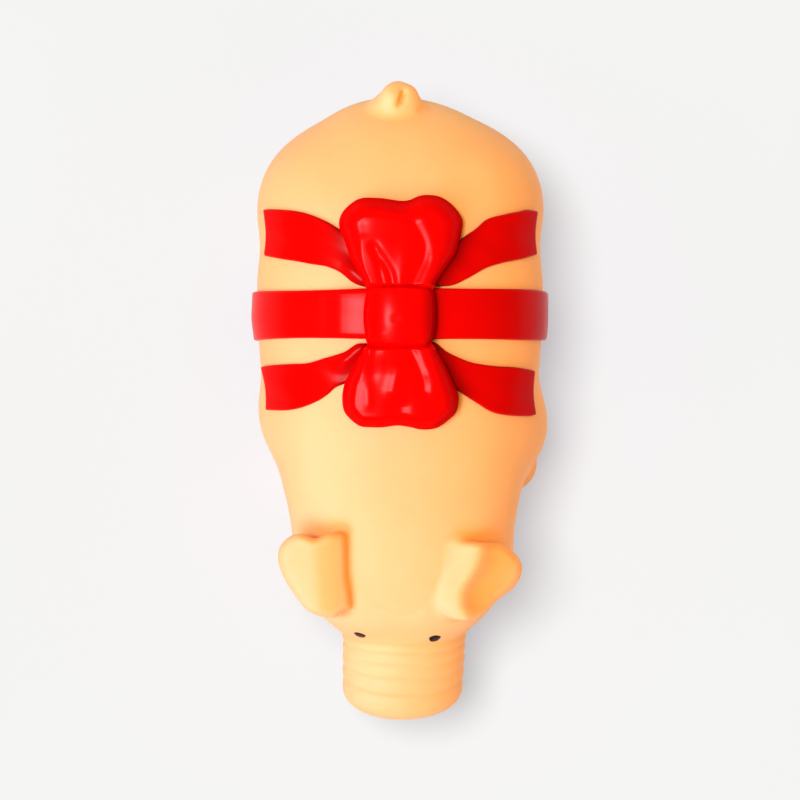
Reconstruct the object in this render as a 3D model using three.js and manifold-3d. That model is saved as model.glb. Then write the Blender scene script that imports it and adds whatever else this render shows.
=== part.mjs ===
// Hollow latex pig dog toy with a raised ribbon and bow, millimetres, +Z up.
// The pig stands on its four soles at z = 0, snout toward -Y, tail toward +Y, its own left side at +X.
// Every soft form is one smooth implicit body; three.js surfaces are shrunk onto it.
import * as THREE from "three";
import { mergeVertices } from "three/addons/utils/BufferGeometryUtils.js";
import Module from "manifold-3d";

const wasm = await Module();
wasm.setup();

// ---------------------------------------------------------------- driving dimensions (mm)
const GAP = 0.3;                 // clearance between touching pieces
const WALL = 2.2;                // latex wall of the barrel, head and snout
const SPINE_Z = 48;              // height of the barrel's centre line
const BAND = { rear: 37.4, front: 20.6, thickness: 1.9 };   // ribbon band round the barrel
const STRIP_THICKNESS = 1.9;     // ribbon ends
const LOOP_HEIGHT = 8.2;         // bow loops above the skin
const KNOT_HEIGHT = 9.6;         // knot above the skin
const LIFT = 0.35;               // underside of the painted relief above the skin
const EYE = { halfLength: 2.05, halfHeight: 1.35, halfThickness: 0.45 };
const PLUG = { x: 0, y: -2, hole: 11.0, collar: 15.5, collarTop: 13.6, body: 10.7, bore: 8.8, flange: 13.2, flangeBottom: 6.4, flangeTop: 8.3, lipBottom: 14.0, lipTop: 15.6, lip: 12.4, top: 25 };
const REED = { width: 6, thickness: 0.5, bottom: 10.2, top: 22.2, y: 1.2 };

// ---------------------------------------------------------------- the pig's smooth form
const SNOUT = { x: 1.2, y: -105, z: 34.5, halfWidth: 20.6, halfHeight: 18.6, rim: 5.5, tilt: 24 * Math.PI / 180, bend: 0.0083 };
const SNOUT_RINGS = [[8.8, 0.5], [13.6, 0.4], [18.2, 0.4], [22.4, 0.4], [26.2, 0.45]];   // grooves: mm behind the face, depth
// y, half-width, centre x, top z, bottom z
const STATIONS = [
  [110, 46.0, -2.0, 86.0, 10.5],
  [104, 46.0, -1.3, 86.0, 10.5],
  [94, 46.2, 0.1, 86.0, 10.5],
  [80, 47.0, 0.4, 86.0, 10.4],
  [60, 47.4, 0.0, 86.6, 10.0],
  [50, 48.8, 0.0, 87.2, 9.4],
  [40, 49.6, 0.0, 87.8, 9.0],
  [30, 49.6, 0.0, 88.0, 9.0],
  [20, 49.0, 0.0, 88.0, 9.0],
  [10, 48.2, 0.0, 87.6, 9.0],
  [0, 47.0, 0.0, 87.2, 9.0],
  [-10, 45.5, 0.2, 86.6, 9.2],
  [-20, 43.7, 0.5, 85.8, 9.8],
  [-30, 41.6, 0.9, 84.4, 10.8],
  [-38, 39.8, 1.0, 82.8, 11.8],
  [-47, 38.6, 1.0, 80.6, 13.0],
  [-60, 38.4, 1.0, 78.6, 14.0],
  [-110, 38.4, 1.0, 78.0, 15.0],
];
const smoothstep01 = (t) => { t = Math.min(1, Math.max(0, t)); return t * t * (3 - 2 * t); };
function station(y) {
  const T = STATIONS;
  if (y >= T[0][0]) return T[0].slice(1);
  for (let i = 1; i < T.length; i++) {
    if (y >= T[i][0]) {
      const a = T[i - 1], b = T[i];
      const pa = T[Math.max(0, i - 2)], pb = T[Math.min(T.length - 1, i + 1)];
      const h = b[0] - a[0], t = (y - a[0]) / h;
      const out = [];
      for (let c = 1; c < 5; c++) {
        const d = (b[c] - a[c]) / h;
        const dl = i > 1 ? (a[c] - pa[c]) / (a[0] - pa[0]) : d;
        const dr = i < T.length - 1 ? (pb[c] - b[c]) / (pb[0] - b[0]) : d;
        const ma = dl * d <= 0 ? 0 : 2 * dl * d / (dl + d);
        const mb = dr * d <= 0 ? 0 : 2 * dr * d / (dr + d);
        const t2 = t * t, t3 = t2 * t;
        out.push(a[c] * (2 * t3 - 3 * t2 + 1) + ma * h * (t3 - 2 * t2 + t) + b[c] * (-2 * t3 + 3 * t2) + mb * h * (t3 - t2));
      }
      return out;
    }
  }
  return T[T.length - 1].slice(1);
}
const smin = (a, b, k) => { const h = Math.max(k - Math.abs(a - b), 0) / k; return Math.min(a, b) - h * h * k * 0.25; };
const smax = (a, b, k) => -smin(-a, -b, k);
const N = 2.4;
function barrel(x, y, z) {
  const [w, xc, zt, zb] = station(y);
  const zc = (zt + zb) / 2, h = (zt - zb) / 2;
  const a = Math.abs(x - xc) / w, b = Math.abs(z - zc) / h;
  const G = Math.max(1e-6, Math.pow(Math.pow(a, N) + Math.pow(b, N), 1 / N));
  const L = y > 60 ? 45.2 : 37, e = y > 60 ? (y - 60) / 45.2 : y < -50 ? (-50 - y) / 37 : 0;
  const k0 = Math.max(1e-6, Math.hypot(G, e));
  const q = Math.pow(G, 2 - N) / k0;
  const gx = q * Math.pow(a, N - 1) / w, gz = q * Math.pow(b, N - 1) / h, gy = e / L / k0;
  return (k0 - 1) / Math.max(1 / 60, Math.hypot(gx, gy, gz));
}
function ellipsoid(x, y, z, c, r) {
  const px = x - c[0], py = y - c[1], pz = z - c[2];
  const k0 = Math.hypot(px / r[0], py / r[1], pz / r[2]), k1 = Math.hypot(px / r[0] ** 2, py / r[1] ** 2, pz / r[2] ** 2);
  return k1 < 1e-9 ? -Math.min(...r) : k0 * (k0 - 1) / k1;
}
function snoutAxis(g) {                // point of the snout's bent axis g mm behind its face, and the tilt there
  const a = SNOUT.tilt, b = SNOUT.tilt - SNOUT.bend * g;
  return [SNOUT.y + (Math.sin(a) - Math.sin(b)) / SNOUT.bend, SNOUT.z + (Math.cos(b) - Math.cos(a)) / SNOUT.bend, b];
}
function snout(x, y, z) {
  let g = 8, C;
  for (let i = 0; i < 5; i++) {
    C = snoutAxis(g);
    g = Math.min(60, Math.max(-40, g + (y - C[0]) * Math.cos(C[2]) + (z - C[1]) * Math.sin(C[2])));
  }
  C = snoutAxis(g);
  const v = -(y - C[0]) * Math.sin(C[2]) + (z - C[1]) * Math.cos(C[2]), t = Math.max(0, g), px = x - SNOUT.x - 0.02 * t;
  const W = SNOUT.halfWidth + 0.035 * t, H = SNOUT.halfHeight + 0.03 * t, M = 2.3;
  const qx = Math.abs(px) / W, qv = Math.abs(v) / H;
  const rho = Math.max(1e-6, Math.pow(Math.pow(qx, M) + Math.pow(qv, M), 1 / M));
  const slope = Math.pow(rho, 1 - M) * Math.hypot(Math.pow(qx, M - 1) / W, Math.pow(qv, M - 1) / H);
  let side = (rho - 1) / Math.max(slope, 1 / 30);
  for (const [g0, depth] of SNOUT_RINGS) side += depth * Math.exp(-(((g - g0) / 1.1) ** 2));
  const r = SNOUT.rim, A = side + r, B = Math.max(-g, g - 36) + r;
  return Math.min(Math.max(A, B), 0) + Math.hypot(Math.max(A, 0), Math.max(B, 0)) - r;
}
const HAMS = [{ c: [25.3, 68.5, 42], r: [24.2, 25.4, 35] }, { c: [-25.1, 68.2, 42], r: [24.1, 25.4, 35] }];
const SHOULDERS = [{ c: [29.8, -8.3, 39], r: [21.8, 21, 30.5] }, { c: [-28.3, -4.5, 39], r: [20.6, 19.5, 30.5] }];
function torso(x, y, z) {
  let d = barrel(x, y, z);
  for (const e of HAMS) d = smin(d, ellipsoid(x, y, z, e.c, e.r), 7);
  for (const e of SHOULDERS) d = smin(d, ellipsoid(x, y, z, e.c, e.r), 7);
  d = smin(d, snout(x, y, z), 4);
  return d;
}

// legs: tapered stubs, from a point inside the body to a flat sole on the ground
const LEGS = [
  { top: [33, -13, 30], sole: [39.3, -23.2, 0], r: 10.6 },
  { top: [-30.5, -12, 30], sole: [-33.2, -23.5, 0], r: 10.4 },
  { top: [31, 67, 30], sole: [33.5, 65, 0], r: 11.2 },
  { top: [-31, 67, 30], sole: [-33.5, 65, 0], r: 11.2 },
];
function leg(x, y, z, L) {
  const t = z / 30;
  const cx = L.sole[0] + (L.top[0] - L.sole[0]) * t, cy = L.sole[1] + (L.top[1] - L.sole[1]) * t;
  const rr = L.r + 2.2 * Math.max(0, t) ** 1.5;
  const side = Math.hypot((x - cx), (y - cy)) - rr;
  const r = 2.0, A = side + r, B = Math.max(-z, z - 34) + r;
  return Math.min(Math.max(A, B), 0) + Math.hypot(Math.max(A, 0), Math.max(B, 0)) - r;
}
function body(x, y, z) {
  let d = torso(x, y, z);
  for (const L of LEGS) d = smin(d, leg(x, y, z, L), 6);
  return d;
}

// ears: outline seen from above, ridge line, heights
const EARS = [
  { side: -1, outline: [[-36.9, -46.4], [-39.3, -48.1], [-41.0, -50.2], [-41.7, -53.3], [-41.0, -57.4], [-39.3, -61.5], [-37.2, -64.9], [-34.5, -68.6], [-31.8, -71.7], [-27.3, -73.7], [-22.2, -74.1], [-19.1, -72.0], [-16.4, -71.0], [-15.7, -67.9], [-16.0, -64.5], [-17.4, -60.4], [-17.4, -55.3], [-17.6, -49.5], [-18.8, -45.7], [-24.6, -45.7], [-30.4, -46.8], [-34.1, -46.1]], ridge: [24.6, 24.6], },
  { side: 1, outline: [[38.2, -51.6], [40.3, -53.4], [41.7, -56.3], [41.7, -59.7], [40.1, -63.2], [37.9, -65.5], [34.5, -67.9], [30.7, -71.4], [28.0, -73.2], [25.3, -74.4], [21.8, -75.1], [17.4, -74.4], [13.8, -72.7], [11.9, -69.6], [11.9, -66.6], [13.0, -63.2], [14.0, -59.1], [13.8, -53.9], [14.3, -50.2], [16.4, -47.8], [21.8, -47.5], [27.3, -48.1], [33.8, -48.5], [36.4, -49.7]], ridge: [27, 20.8], },
];
function polyDist(x, y, P) {
  let d = 1e9, inside = false;
  for (let i = 0, j = P.length - 1; i < P.length; j = i++) {
    const ex = P[i][0] - P[j][0], ey = P[i][1] - P[j][1], wx = x - P[j][0], wy = y - P[j][1];
    const t = Math.min(1, Math.max(0, (wx * ex + wy * ey) / (ex * ex + ey * ey)));
    d = Math.min(d, (wx - ex * t) ** 2 + (wy - ey * t) ** 2);
    if ((P[i][1] > y) !== (P[j][1] > y) && x < (P[j][0] - P[i][0]) * (y - P[i][1]) / (P[j][1] - P[i][1]) + P[i][0]) inside = !inside;
  }
  return inside ? -Math.sqrt(d) : Math.sqrt(d);
}
function earTop(x, y, E) {
  const u = E.side * x, t = Math.min(1.2, Math.max(-0.2, (-50 - y) / 18));
  const ur = E.ridge[0] + (E.ridge[1] - E.ridge[0]) * t, zr = 83.5 + (y + 50) * 0.3;
  const q = u - ur;
  const soft = Math.sqrt(q * q + 6) - Math.sqrt(6);
  const out = q > 0 ? q / (42.5 - ur) : 0;
  return zr - (q < 0 ? 1.15 : 0.95) * soft - 1.9 * Math.sin(Math.PI * Math.min(1, out)) ;
}
function ear(x, y, z, E) {
  const T = 8.4, top = earTop(x, y, E);
  const r = 2.6, A = polyDist(x, y, E.outline) + r, B = (Math.abs(z - top + T / 2) - T / 2) * 0.74 + r;
  return Math.min(Math.max(A, B), 0) + Math.hypot(Math.max(A, 0), Math.max(B, 0)) - r;
}
function capsule(x, y, z, a, b, r) {
  const e = [b[0] - a[0], b[1] - a[1], b[2] - a[2]], w = [x - a[0], y - a[1], z - a[2]];
  const t = Math.min(1, Math.max(0, (w[0] * e[0] + w[1] * e[1] + w[2] * e[2]) / (e[0] ** 2 + e[1] ** 2 + e[2] ** 2)));
  return Math.hypot(w[0] - e[0] * t, w[1] - e[1] * t, w[2] - e[2] * t) - r;
}
function tail(x, y, z) {
  const base = ellipsoid(x, y, z, [-1.2, 98.5, 61.5], [10, 8.5, 9.5]);
  const lobe = capsule(x, y, z, [-0.4, 105.8, 65.5], [-3.0, 102.3, 67], 4.2);
  const strand = Math.min(capsule(x, y, z, [0.5, 106.4, 64], [3.8, 104.2, 64], 3.6), capsule(x, y, z, [3.8, 104.2, 64], [2.8, 98, 64.5], 3.6));
  return smin(smin(lobe, strand, 0.8), base, 2.5);
}

// ---------------------------------------------------------------- helpers
function bisect(f, lo, hi) {          // f < 0 at lo, > 0 at hi
  for (let i = 0; i < 34; i++) { const m = (lo + hi) / 2; if (f(m) < 0) lo = m; else hi = m; }
  return (lo + hi) / 2;
}
const skinTop = (x, y, level = 0) => bisect((z) => torso(x, y, z) - level, 45, 105);
function normalAt(x, y, z) {
  const e = 0.25;
  return new THREE.Vector3(torso(x + e, y, z) - torso(x - e, y, z), torso(x, y + e, z) - torso(x, y - e, z), torso(x, y, z + e) - torso(x, y, z - e)).normalize();
}
function welded(geometry) {
  const g = geometry.index ? geometry : geometry.clone();
  for (const name of Object.keys(g.attributes)) if (name !== "position") g.deleteAttribute(name);
  return mergeVertices(g, 2e-3);
}
function solid(geometry) {
  const g = welded(geometry), p = g.attributes.position, index = g.index.array, tri = [];
  for (let i = 0; i < index.length; i += 3) {
    const a = index[i], b = index[i + 1], c = index[i + 2];
    if (a !== b && b !== c && c !== a) tri.push(a, b, c);
  }
  let volume = 0;
  const A = new THREE.Vector3(), B = new THREE.Vector3(), C = new THREE.Vector3();
  for (let i = 0; i < tri.length; i += 3) {
    A.fromBufferAttribute(p, tri[i]); B.fromBufferAttribute(p, tri[i + 1]); C.fromBufferAttribute(p, tri[i + 2]);
    volume += A.dot(B.cross(C));
  }
  if (volume < 0) for (let i = 0; i < tri.length; i += 3) [tri[i + 1], tri[i + 2]] = [tri[i + 2], tri[i + 1]];
  return new wasm.Manifold(new wasm.Mesh({ numProp: 3, vertProperties: new Float32Array(p.array), triVerts: new Uint32Array(tri) }));
}
function geometryOf(manifold) {
  const mesh = manifold.getMesh(), g = new THREE.BufferGeometry(), pos = new Float32Array(mesh.numVert * 3);
  for (let i = 0; i < mesh.numVert; i++) for (let k = 0; k < 3; k++) pos[3 * i + k] = mesh.vertProperties[i * mesh.numProp + k];
  g.setAttribute("position", new THREE.BufferAttribute(pos, 3));
  g.setIndex(Array.from(mesh.triVerts));
  const out = mergeVertices(g, 2e-3);
  out.computeVertexNormals();
  return out;
}
function largest(manifold) {
  const parts = manifold.decompose();
  return parts.reduce((a, b) => (b.volume() > a.volume() ? b : a));
}
function remap(geometry, fn) {         // move every vertex of a three.js geometry
  const p = geometry.attributes.position, v = new THREE.Vector3();
  for (let i = 0; i < p.count; i++) { v.fromBufferAttribute(p, i); const q = fn(v, i); p.setXYZ(i, q[0], q[1], q[2]); }
  return geometry;
}

// ---------------------------------------------------------------- barrel, head and snout: a sphere shrunk onto the form
// Each latitude of the sphere is one ring of rays leaving the spine: [origin y, origin z, tilt, fan angle] in degrees.
function spineRows(fine) {
  const rows = [];
  for (const b of fine ? [-90, -77, -63, -49, -36, -24, -12] : [-90, -66, -44, -20]) rows.push([66, SPINE_Z, 0, b]);
  for (const y of fine ? [66, 60.5, 55, 49.5, 44, 38, 32, 26, 20, 14, 8, 3, -2, -7, -12, -17, -22, -28, -34, -41, -48, -54.5] : [66, 54, 40, 26, 12, -2, -14, -26, -40, -53]) rows.push([y, SPINE_Z - 2 * Math.max(0, Math.min(1, (50 - y) / 100)), 0, 0]);
  for (const r of fine ? [[-60, 46, 5], [-65, 46, 11], [-70, 45.8, 17], [-75, 45.4, 23]] : [[-63, 46, 9], [-72, 45.6, 20]]) rows.push([...r, 0]);
  for (const g of fine ? [26.2, 24.2, 22.4, 20.4, 18.2, 16, 13.6, 11.2, 8.8, 6.6, 5.6] : [25, 17, 9]) { const C = snoutAxis(g); rows.push([C[0], C[1], C[2] * 180 / Math.PI, 0]); }
  const C = snoutAxis(fine ? 5.6 : 9);
  for (const b of fine ? [5, 9.5, 14, 19, 32, 58, 90] : [14, 24, 45, 90]) rows.push([C[0], C[1], C[2] * 180 / Math.PI, b]);
  return rows;
}
function shrunkSphere(columns, rows, level, floor = -1e9) {
  const g = new THREE.SphereGeometry(1, columns, rows.length - 1);
  return remap(g, (v, i) => {
    const row = Math.floor(i / (columns + 1)), col = i % (columns + 1);
    const [y, z, tilt, fan] = rows[row], th = 2 * Math.PI * (col % columns) / columns;
    const T = tilt * Math.PI / 180, F = fan * Math.PI / 180;
    const ax = [0, -Math.cos(T), -Math.sin(T)], up = [0, -Math.sin(T), Math.cos(T)];
    const pole = Math.abs(Math.abs(fan) - 90) < 1e-6;
    const cf = pole ? 0 : Math.cos(F), sf = pole ? Math.sign(fan) : Math.sin(F);
    const d = [cf * Math.sin(th), cf * Math.cos(th) * up[1] + sf * ax[1], cf * Math.cos(th) * up[2] + sf * ax[2]];
    const x0 = station(y)[1];
    const r = bisect((q) => torso(x0 + q * d[0], y + q * d[1], z + q * d[2]) - level, 0.5, 75);
    return [x0 + r * d[0], y + r * d[1], Math.max(floor, z + r * d[2])];
  });
}

// legs: turned stubs with a flat sole, leaned over toward the body
function legSolid(L) {
  const R = L.r, prof = [[0, 0], [R - 1.9, 0], [R - 0.6, 0.6], [R, 1.9], [R + 0.6, 12], [R + 1.9, 24], [0, 24]].map((q) => new THREE.Vector2(q[0], q[1]));
  const g = new THREE.LatheGeometry(prof, 16);
  g.rotateX(Math.PI / 2);
  return solid(remap(g, (v) => {
    const t = Math.max(0, v.z) / 30;
    return [v.x + L.sole[0] + (L.top[0] - L.sole[0]) * t, v.y + L.sole[1] + (L.top[1] - L.sole[1]) * t, v.z];
  }));
}

// ears: a sphere spread over the ear's outline and laid on its folded top face
function rayToOutline(c, th, P) {
  const d = [Math.cos(th), Math.sin(th)];
  let best = 0;
  for (let i = 0, j = P.length - 1; i < P.length; j = i++) {
    const ex = P[i][0] - P[j][0], ey = P[i][1] - P[j][1], wx = P[j][0] - c[0], wy = P[j][1] - c[1];
    const den = d[0] * ey - d[1] * ex;
    if (Math.abs(den) < 1e-9) continue;
    const r = (wx * ey - wy * ex) / den, t = (wx * d[1] - wy * d[0]) / den;
    if (t >= -1e-9 && t <= 1 + 1e-9 && r > best) best = r;
  }
  return best;
}
function centreOf(P) {
  let a = 0, cx = 0, cy = 0;
  for (let i = 0, j = P.length - 1; i < P.length; j = i++) {
    const k = P[j][0] * P[i][1] - P[i][0] * P[j][1];
    a += k; cx += k * (P[i][0] + P[j][0]); cy += k * (P[i][1] + P[j][1]);
  }
  return [cx / (3 * a), cy / (3 * a)];
}
function padded(P, nTheta, nPhi, place) { // sphere -> pad over the outline P; place(x, y, rho, up) gives z
  const c = centreOf(P), g = new THREE.SphereGeometry(1, nTheta, nPhi);
  return remap(g, (v, i) => {
    const row = Math.floor(i / (nTheta + 1)), col = i % (nTheta + 1);
    const phi = Math.PI * row / nPhi, th = 2 * Math.PI * (col % nTheta) / nTheta;
    const s = row === 0 || row === nPhi ? 0 : Math.sin(phi), rho = Math.pow(s, 0.75), up = Math.cos(phi);
    const R = rayToOutline(c, th, P), x = c[0] + R * rho * Math.cos(th), y = c[1] + R * rho * Math.sin(th);
    return [x, y, place(x, y, rho, up)];
  });
}
function earSolid(E) {
  const T = 8.4;
  return solid(padded(E.outline, 24, 8, (x, y, rho, up) => earTop(x, y, E) - T / 2 + Math.sign(up) * Math.pow(Math.abs(up), 0.55) * T / 2));
}
function capsuleSolid(a, b, r, stretch) {
  const A = new THREE.Vector3(...a), B = new THREE.Vector3(...b), L = A.distanceTo(B);
  const g = new THREE.CapsuleGeometry(r, L, 4, 12, 1);
  const q = new THREE.Quaternion().setFromUnitVectors(new THREE.Vector3(0, 1, 0), B.clone().sub(A).normalize());
  g.applyQuaternion(q);
  const m = A.clone().add(B).multiplyScalar(0.5);
  g.translate(m.x, m.y, m.z);
  return solid(g);
}

let skin = solid(shrunkSphere(36, spineRows(true), 0));
for (const L of LEGS) skin = skin.add(legSolid(L));
for (const E of EARS) skin = skin.add(earSolid(E));
{
  const lump = new THREE.SphereGeometry(1, 16, 10);
  lump.scale(10, 8.5, 9.5); lump.translate(-1.2, 98.5, 61.5);
  skin = skin.add(solid(lump));
  skin = skin.add(capsuleSolid([-0.4, 105.8, 65.5], [-3.0, 102.3, 67], 4.2));
  skin = skin.add(capsuleSolid([0.5, 106.4, 64], [3.8, 104.2, 64], 3.5)).add(capsuleSolid([3.8, 104.2, 64], [2.8, 98, 64.5], 3.5));
}
// the hollow, then the thick collar and the round hole in the belly
skin = skin.subtract(solid(shrunkSphere(24, spineRows(false), -WALL)));
function lathe(profile, segments, x = 0, y = 0) {
  const g = new THREE.LatheGeometry(profile.map((q) => new THREE.Vector2(q[0], q[1])), segments);
  g.rotateX(Math.PI / 2);
  g.translate(x, y, 0);
  return solid(g);
}
skin = skin.add(lathe([[0, 10.0], [PLUG.collar, 10.0], [PLUG.collar, PLUG.collarTop - 1], [PLUG.collar - 1, PLUG.collarTop], [0, PLUG.collarTop]], 28, PLUG.x, PLUG.y));
skin = skin.subtract(lathe([[0, 2], [PLUG.hole, 2], [PLUG.hole, 20], [0, 20]], 28, PLUG.x, PLUG.y));
// nostrils pressed into the snout's disc
for (const sx of [-6.4, 6.4]) {
  const g = new THREE.SphereGeometry(1, 12, 8);
  g.scale(2.6, 1.5, 3.8);
  g.rotateX(SNOUT.tilt);
  g.translate(SNOUT.x + sx, SNOUT.y - 2 * Math.sin(SNOUT.tilt), SNOUT.z + 2 * Math.cos(SNOUT.tilt));
  skin = skin.subtract(solid(g));
}
skin = largest(skin);

// ---------------------------------------------------------------- ribbon and bow, raised off the skin
const OUTLINES = {
  loop_rear: [[-20.4, 57.8], [-20.4, 61.1], [-18.8, 64.1], [-15.4, 67.0], [-12.4, 68.1], [-8.4, 68.1], [-4.7, 67.8], [-0.1, 66.3], [3.0, 66.8], [6.4, 68.6], [9.4, 69.1], [13.4, 68.5], [17.1, 66.2], [19.8, 63.1], [21.2, 60.1], [20.7, 56.0], [19.8, 52.4], [18.8, 49.1], [16.1, 45.1], [13.2, 40.8], [11.5, 37.9], [5.9, 38.0], [0.0, 38.0], [-5.9, 37.9], [-11.2, 37.6], [-12.8, 40.2], [-14.8, 44.1], [-16.8, 47.8], [-19.1, 54.0]],
  loop_front: [[-19.1, 4.0], [-19.5, 0.3], [-18.9, -3.6], [-16.9, -6.3], [-13.5, -8.8], [-9.9, -9.2], [-5.9, -9.2], [-1.0, -8.6], [3.0, -9.1], [6.6, -9.9], [9.9, -9.9], [12.8, -9.2], [16.1, -6.9], [18.8, -4.3], [19.8, -0.7], [19.4, 2.6], [17.5, 6.9], [15.2, 11.9], [12.8, 16.1], [10.9, 18.1], [4.6, 17.0], [0.0, 16.8], [-4.6, 17.0], [-11.2, 18.1], [-14.7, 13.5], [-16.8, 9.2], [-18.1, 7.2]],
  knot: [[-11.9, 35.9], [-11.4, 34.3], [-12.2, 30.6], [-12.5, 27.3], [-12.5, 23.7], [-11.9, 20.4], [-10.2, 18.4], [-6.6, 17.4], [-2.0, 17.2], [3.0, 17.2], [7.6, 17.6], [10.2, 18.8], [11.2, 20.1], [12.0, 22.4], [12.6, 26.7], [12.5, 30.6], [12.0, 35.9], [10.5, 37.4], [5.9, 37.7], [0.0, 37.7], [-5.9, 37.5], [-10.5, 37.1]],
};
function grown(P, d) {                 // outline pushed outward by d from its centre
  const c = centreOf(P);
  return P.map(([x, y]) => { const l = Math.hypot(x - c[0], y - c[1]); return [x + (x - c[0]) / l * d, y + (y - c[1]) / l * d]; });
}
const reliefPad = (P, height, nTheta, nPhi) => solid(padded(P, nTheta, nPhi, (x, y, rho, up) => skinTop(x, y, LIFT) + (up > 0 ? height * Math.pow(up, 0.55) : 0)));
const reliefCutter = (P, nTheta) => solid(padded(grown(P, GAP + 0.1), nTheta, 6, (x, y, rho, up) => skinTop(x, y, LIFT) + 14 * Math.sign(up) * Math.pow(Math.abs(up), 0.12) + 2));

const knot = reliefPad(OUTLINES.knot, KNOT_HEIGHT, 28, 10);
const knotCutter = reliefCutter(OUTLINES.knot, 28);
const loopRear = largest(reliefPad(OUTLINES.loop_rear, LOOP_HEIGHT, 32, 10).subtract(knotCutter));
const loopFront = largest(reliefPad(OUTLINES.loop_front, LOOP_HEIGHT, 32, 10).subtract(knotCutter));
const bowCutters = [knotCutter, reliefCutter(OUTLINES.loop_rear, 32), reliefCutter(OUTLINES.loop_front, 32)];

// band: a box wrapped once round the barrel, open where the knot sits
const bandShell = (rear, front, low, high, segments) => solid(remap(new THREE.BoxGeometry(1, 1, 1, segments, 2, 1), (v) => {
  const th = (v.x + 0.5) * (2 * Math.PI - 0.16) + 0.08, y = front + (v.y + 0.5) * (rear - front);
  const d = [Math.sin(th), 0, Math.cos(th)];
  const r = bisect((q) => torso(q * d[0], y, SPINE_Z + q * d[2]), 1, 75);
  const P = new THREE.Vector3(r * d[0], y, SPINE_Z + r * d[2]), n = normalAt(P.x, P.y, P.z);
  n.y = 0; n.normalize();
  P.addScaledVector(n, v.z < 0 ? low : high);
  return [P.x, P.y, P.z];
}));
let band = bandShell(BAND.rear, BAND.front, LIFT, BAND.thickness + LIFT, 64);
for (const c of bowCutters) band = band.subtract(c);
band = largest(band);
const bandCutter = bandShell(BAND.rear + 0.4, BAND.front - 0.4, -2, 5, 48);

// ribbon ends: a box laid between two edge lines on the skin
const STRIPS = {
  ribbon_tail_rear_right: { a: [[-45.8, 65.3], [-42.2, 65.0], [-34.9, 64.0], [-29.7, 62.5], [-24.3, 60.0], [-20.5, 57.6], [-16.1, 54.5], [-11.2, 49.4]], b: [[-45.4, 49.2], [-39.7, 47.8], [-35.3, 47.0], [-30.0, 45.9], [-25.3, 45.1], [-21.4, 43.7], [-18.8, 42.0], [-15.8, 39.5], [-12.2, 38.1], [-9.2, 37.9]] },
  ribbon_tail_rear_left: { a: [[46.2, 64.8], [42.9, 64.9], [40.8, 64.3], [35.6, 63.0], [29.4, 61.1], [25.3, 57.6], [20.9, 54.5], [15.2, 49.4], [11.2, 46.8]], b: [[45.8, 49.6], [40.8, 47.9], [34.1, 46.3], [28.7, 44.5], [24.7, 42.2], [21.7, 40.5], [17.5, 38.6], [13.2, 38.2], [9.2, 38.1]] },
  ribbon_tail_front_right: { a: [[-46.6, 11.6], [-43.3, 11.9], [-37.6, 12.2], [-31.0, 12.5], [-25.3, 14.1], [-18.8, 16.1], [-14.5, 18.8], [-11.2, 19.1]], b: [[-44.9, -3.4], [-38.0, -3.4], [-32.8, -2.4], [-27.5, -0.2], [-24.2, 2.0], [-21.7, 4.2], [-17.8, 5.9], [-12.5, 8.6]] },
  ribbon_tail_front_left: { a: [[45.1, 10.2], [38.5, 11.2], [32.1, 11.5], [24.7, 12.5], [19.8, 14.2], [15.2, 16.5], [11.7, 19.3], [7.9, 19.6]], b: [[45.6, -5.1], [43.0, -5.5], [35.6, -5.1], [30.6, -3.9], [25.5, -0.8], [21.4, 1.8], [17.1, 4.6], [11.9, 7.9]] },
};
const alongCurve = (P) => new THREE.CatmullRomCurve3(P.map(([x, y]) => new THREE.Vector3(x, y, 0)), false, "centripetal");
function strip(S) {
  const A = alongCurve(S.a), B = alongCurve(S.b);
  let m = solid(remap(new THREE.BoxGeometry(1, 1, 1, 14, 4, 1), (v) => {
    const u = v.x + 0.5, w = v.y + 0.5, p = A.getPointAt(u).lerp(B.getPointAt(u), w);
    const z = skinTop(p.x, p.y), n = normalAt(p.x, p.y, z), t = v.z < 0 ? LIFT : LIFT + STRIP_THICKNESS;
    return [p.x + n.x * t, p.y + n.y * t, z + n.z * t];
  }));
  for (const c of [...bowCutters, bandCutter]) m = m.subtract(c);
  return largest(m);
}

// ---------------------------------------------------------------- eyes: thin oval dots of paint on the forehead slope
function eye(x, y, roll) {
  const z = skinTop(x, y), n = normalAt(x, y, z), g = new THREE.SphereGeometry(1, 14, 6);
  g.rotateX(Math.PI / 2);
  g.scale(EYE.halfLength, EYE.halfHeight, EYE.halfThickness);
  const side = new THREE.Vector3(1, 0, 0).addScaledVector(n, -n.x).normalize(), up = n.clone().cross(side);
  g.rotateZ(roll);
  g.applyMatrix4(new THREE.Matrix4().makeBasis(side, up, n));
  const o = n.clone().multiplyScalar(GAP + EYE.halfThickness);
  g.translate(x + o.x, y + o.y, z + o.z);
  return solid(g);
}

// ---------------------------------------------------------------- fibre filling: one soft lump inside the barrel
const filling = (() => {
  const rows = [];
  for (const b of [-90, -60, -30]) rows.push([62, 52, 0, b]);
  for (const y of [62, 48, 34, 20, 6, -8, -22, -34]) rows.push([y, 52, 0, 0]);
  for (const b of [30, 60, 90]) rows.push([-34, 52, 0, b]);
  return solid(shrunkSphere(16, rows, -WALL - 8, 29));
})();

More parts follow.
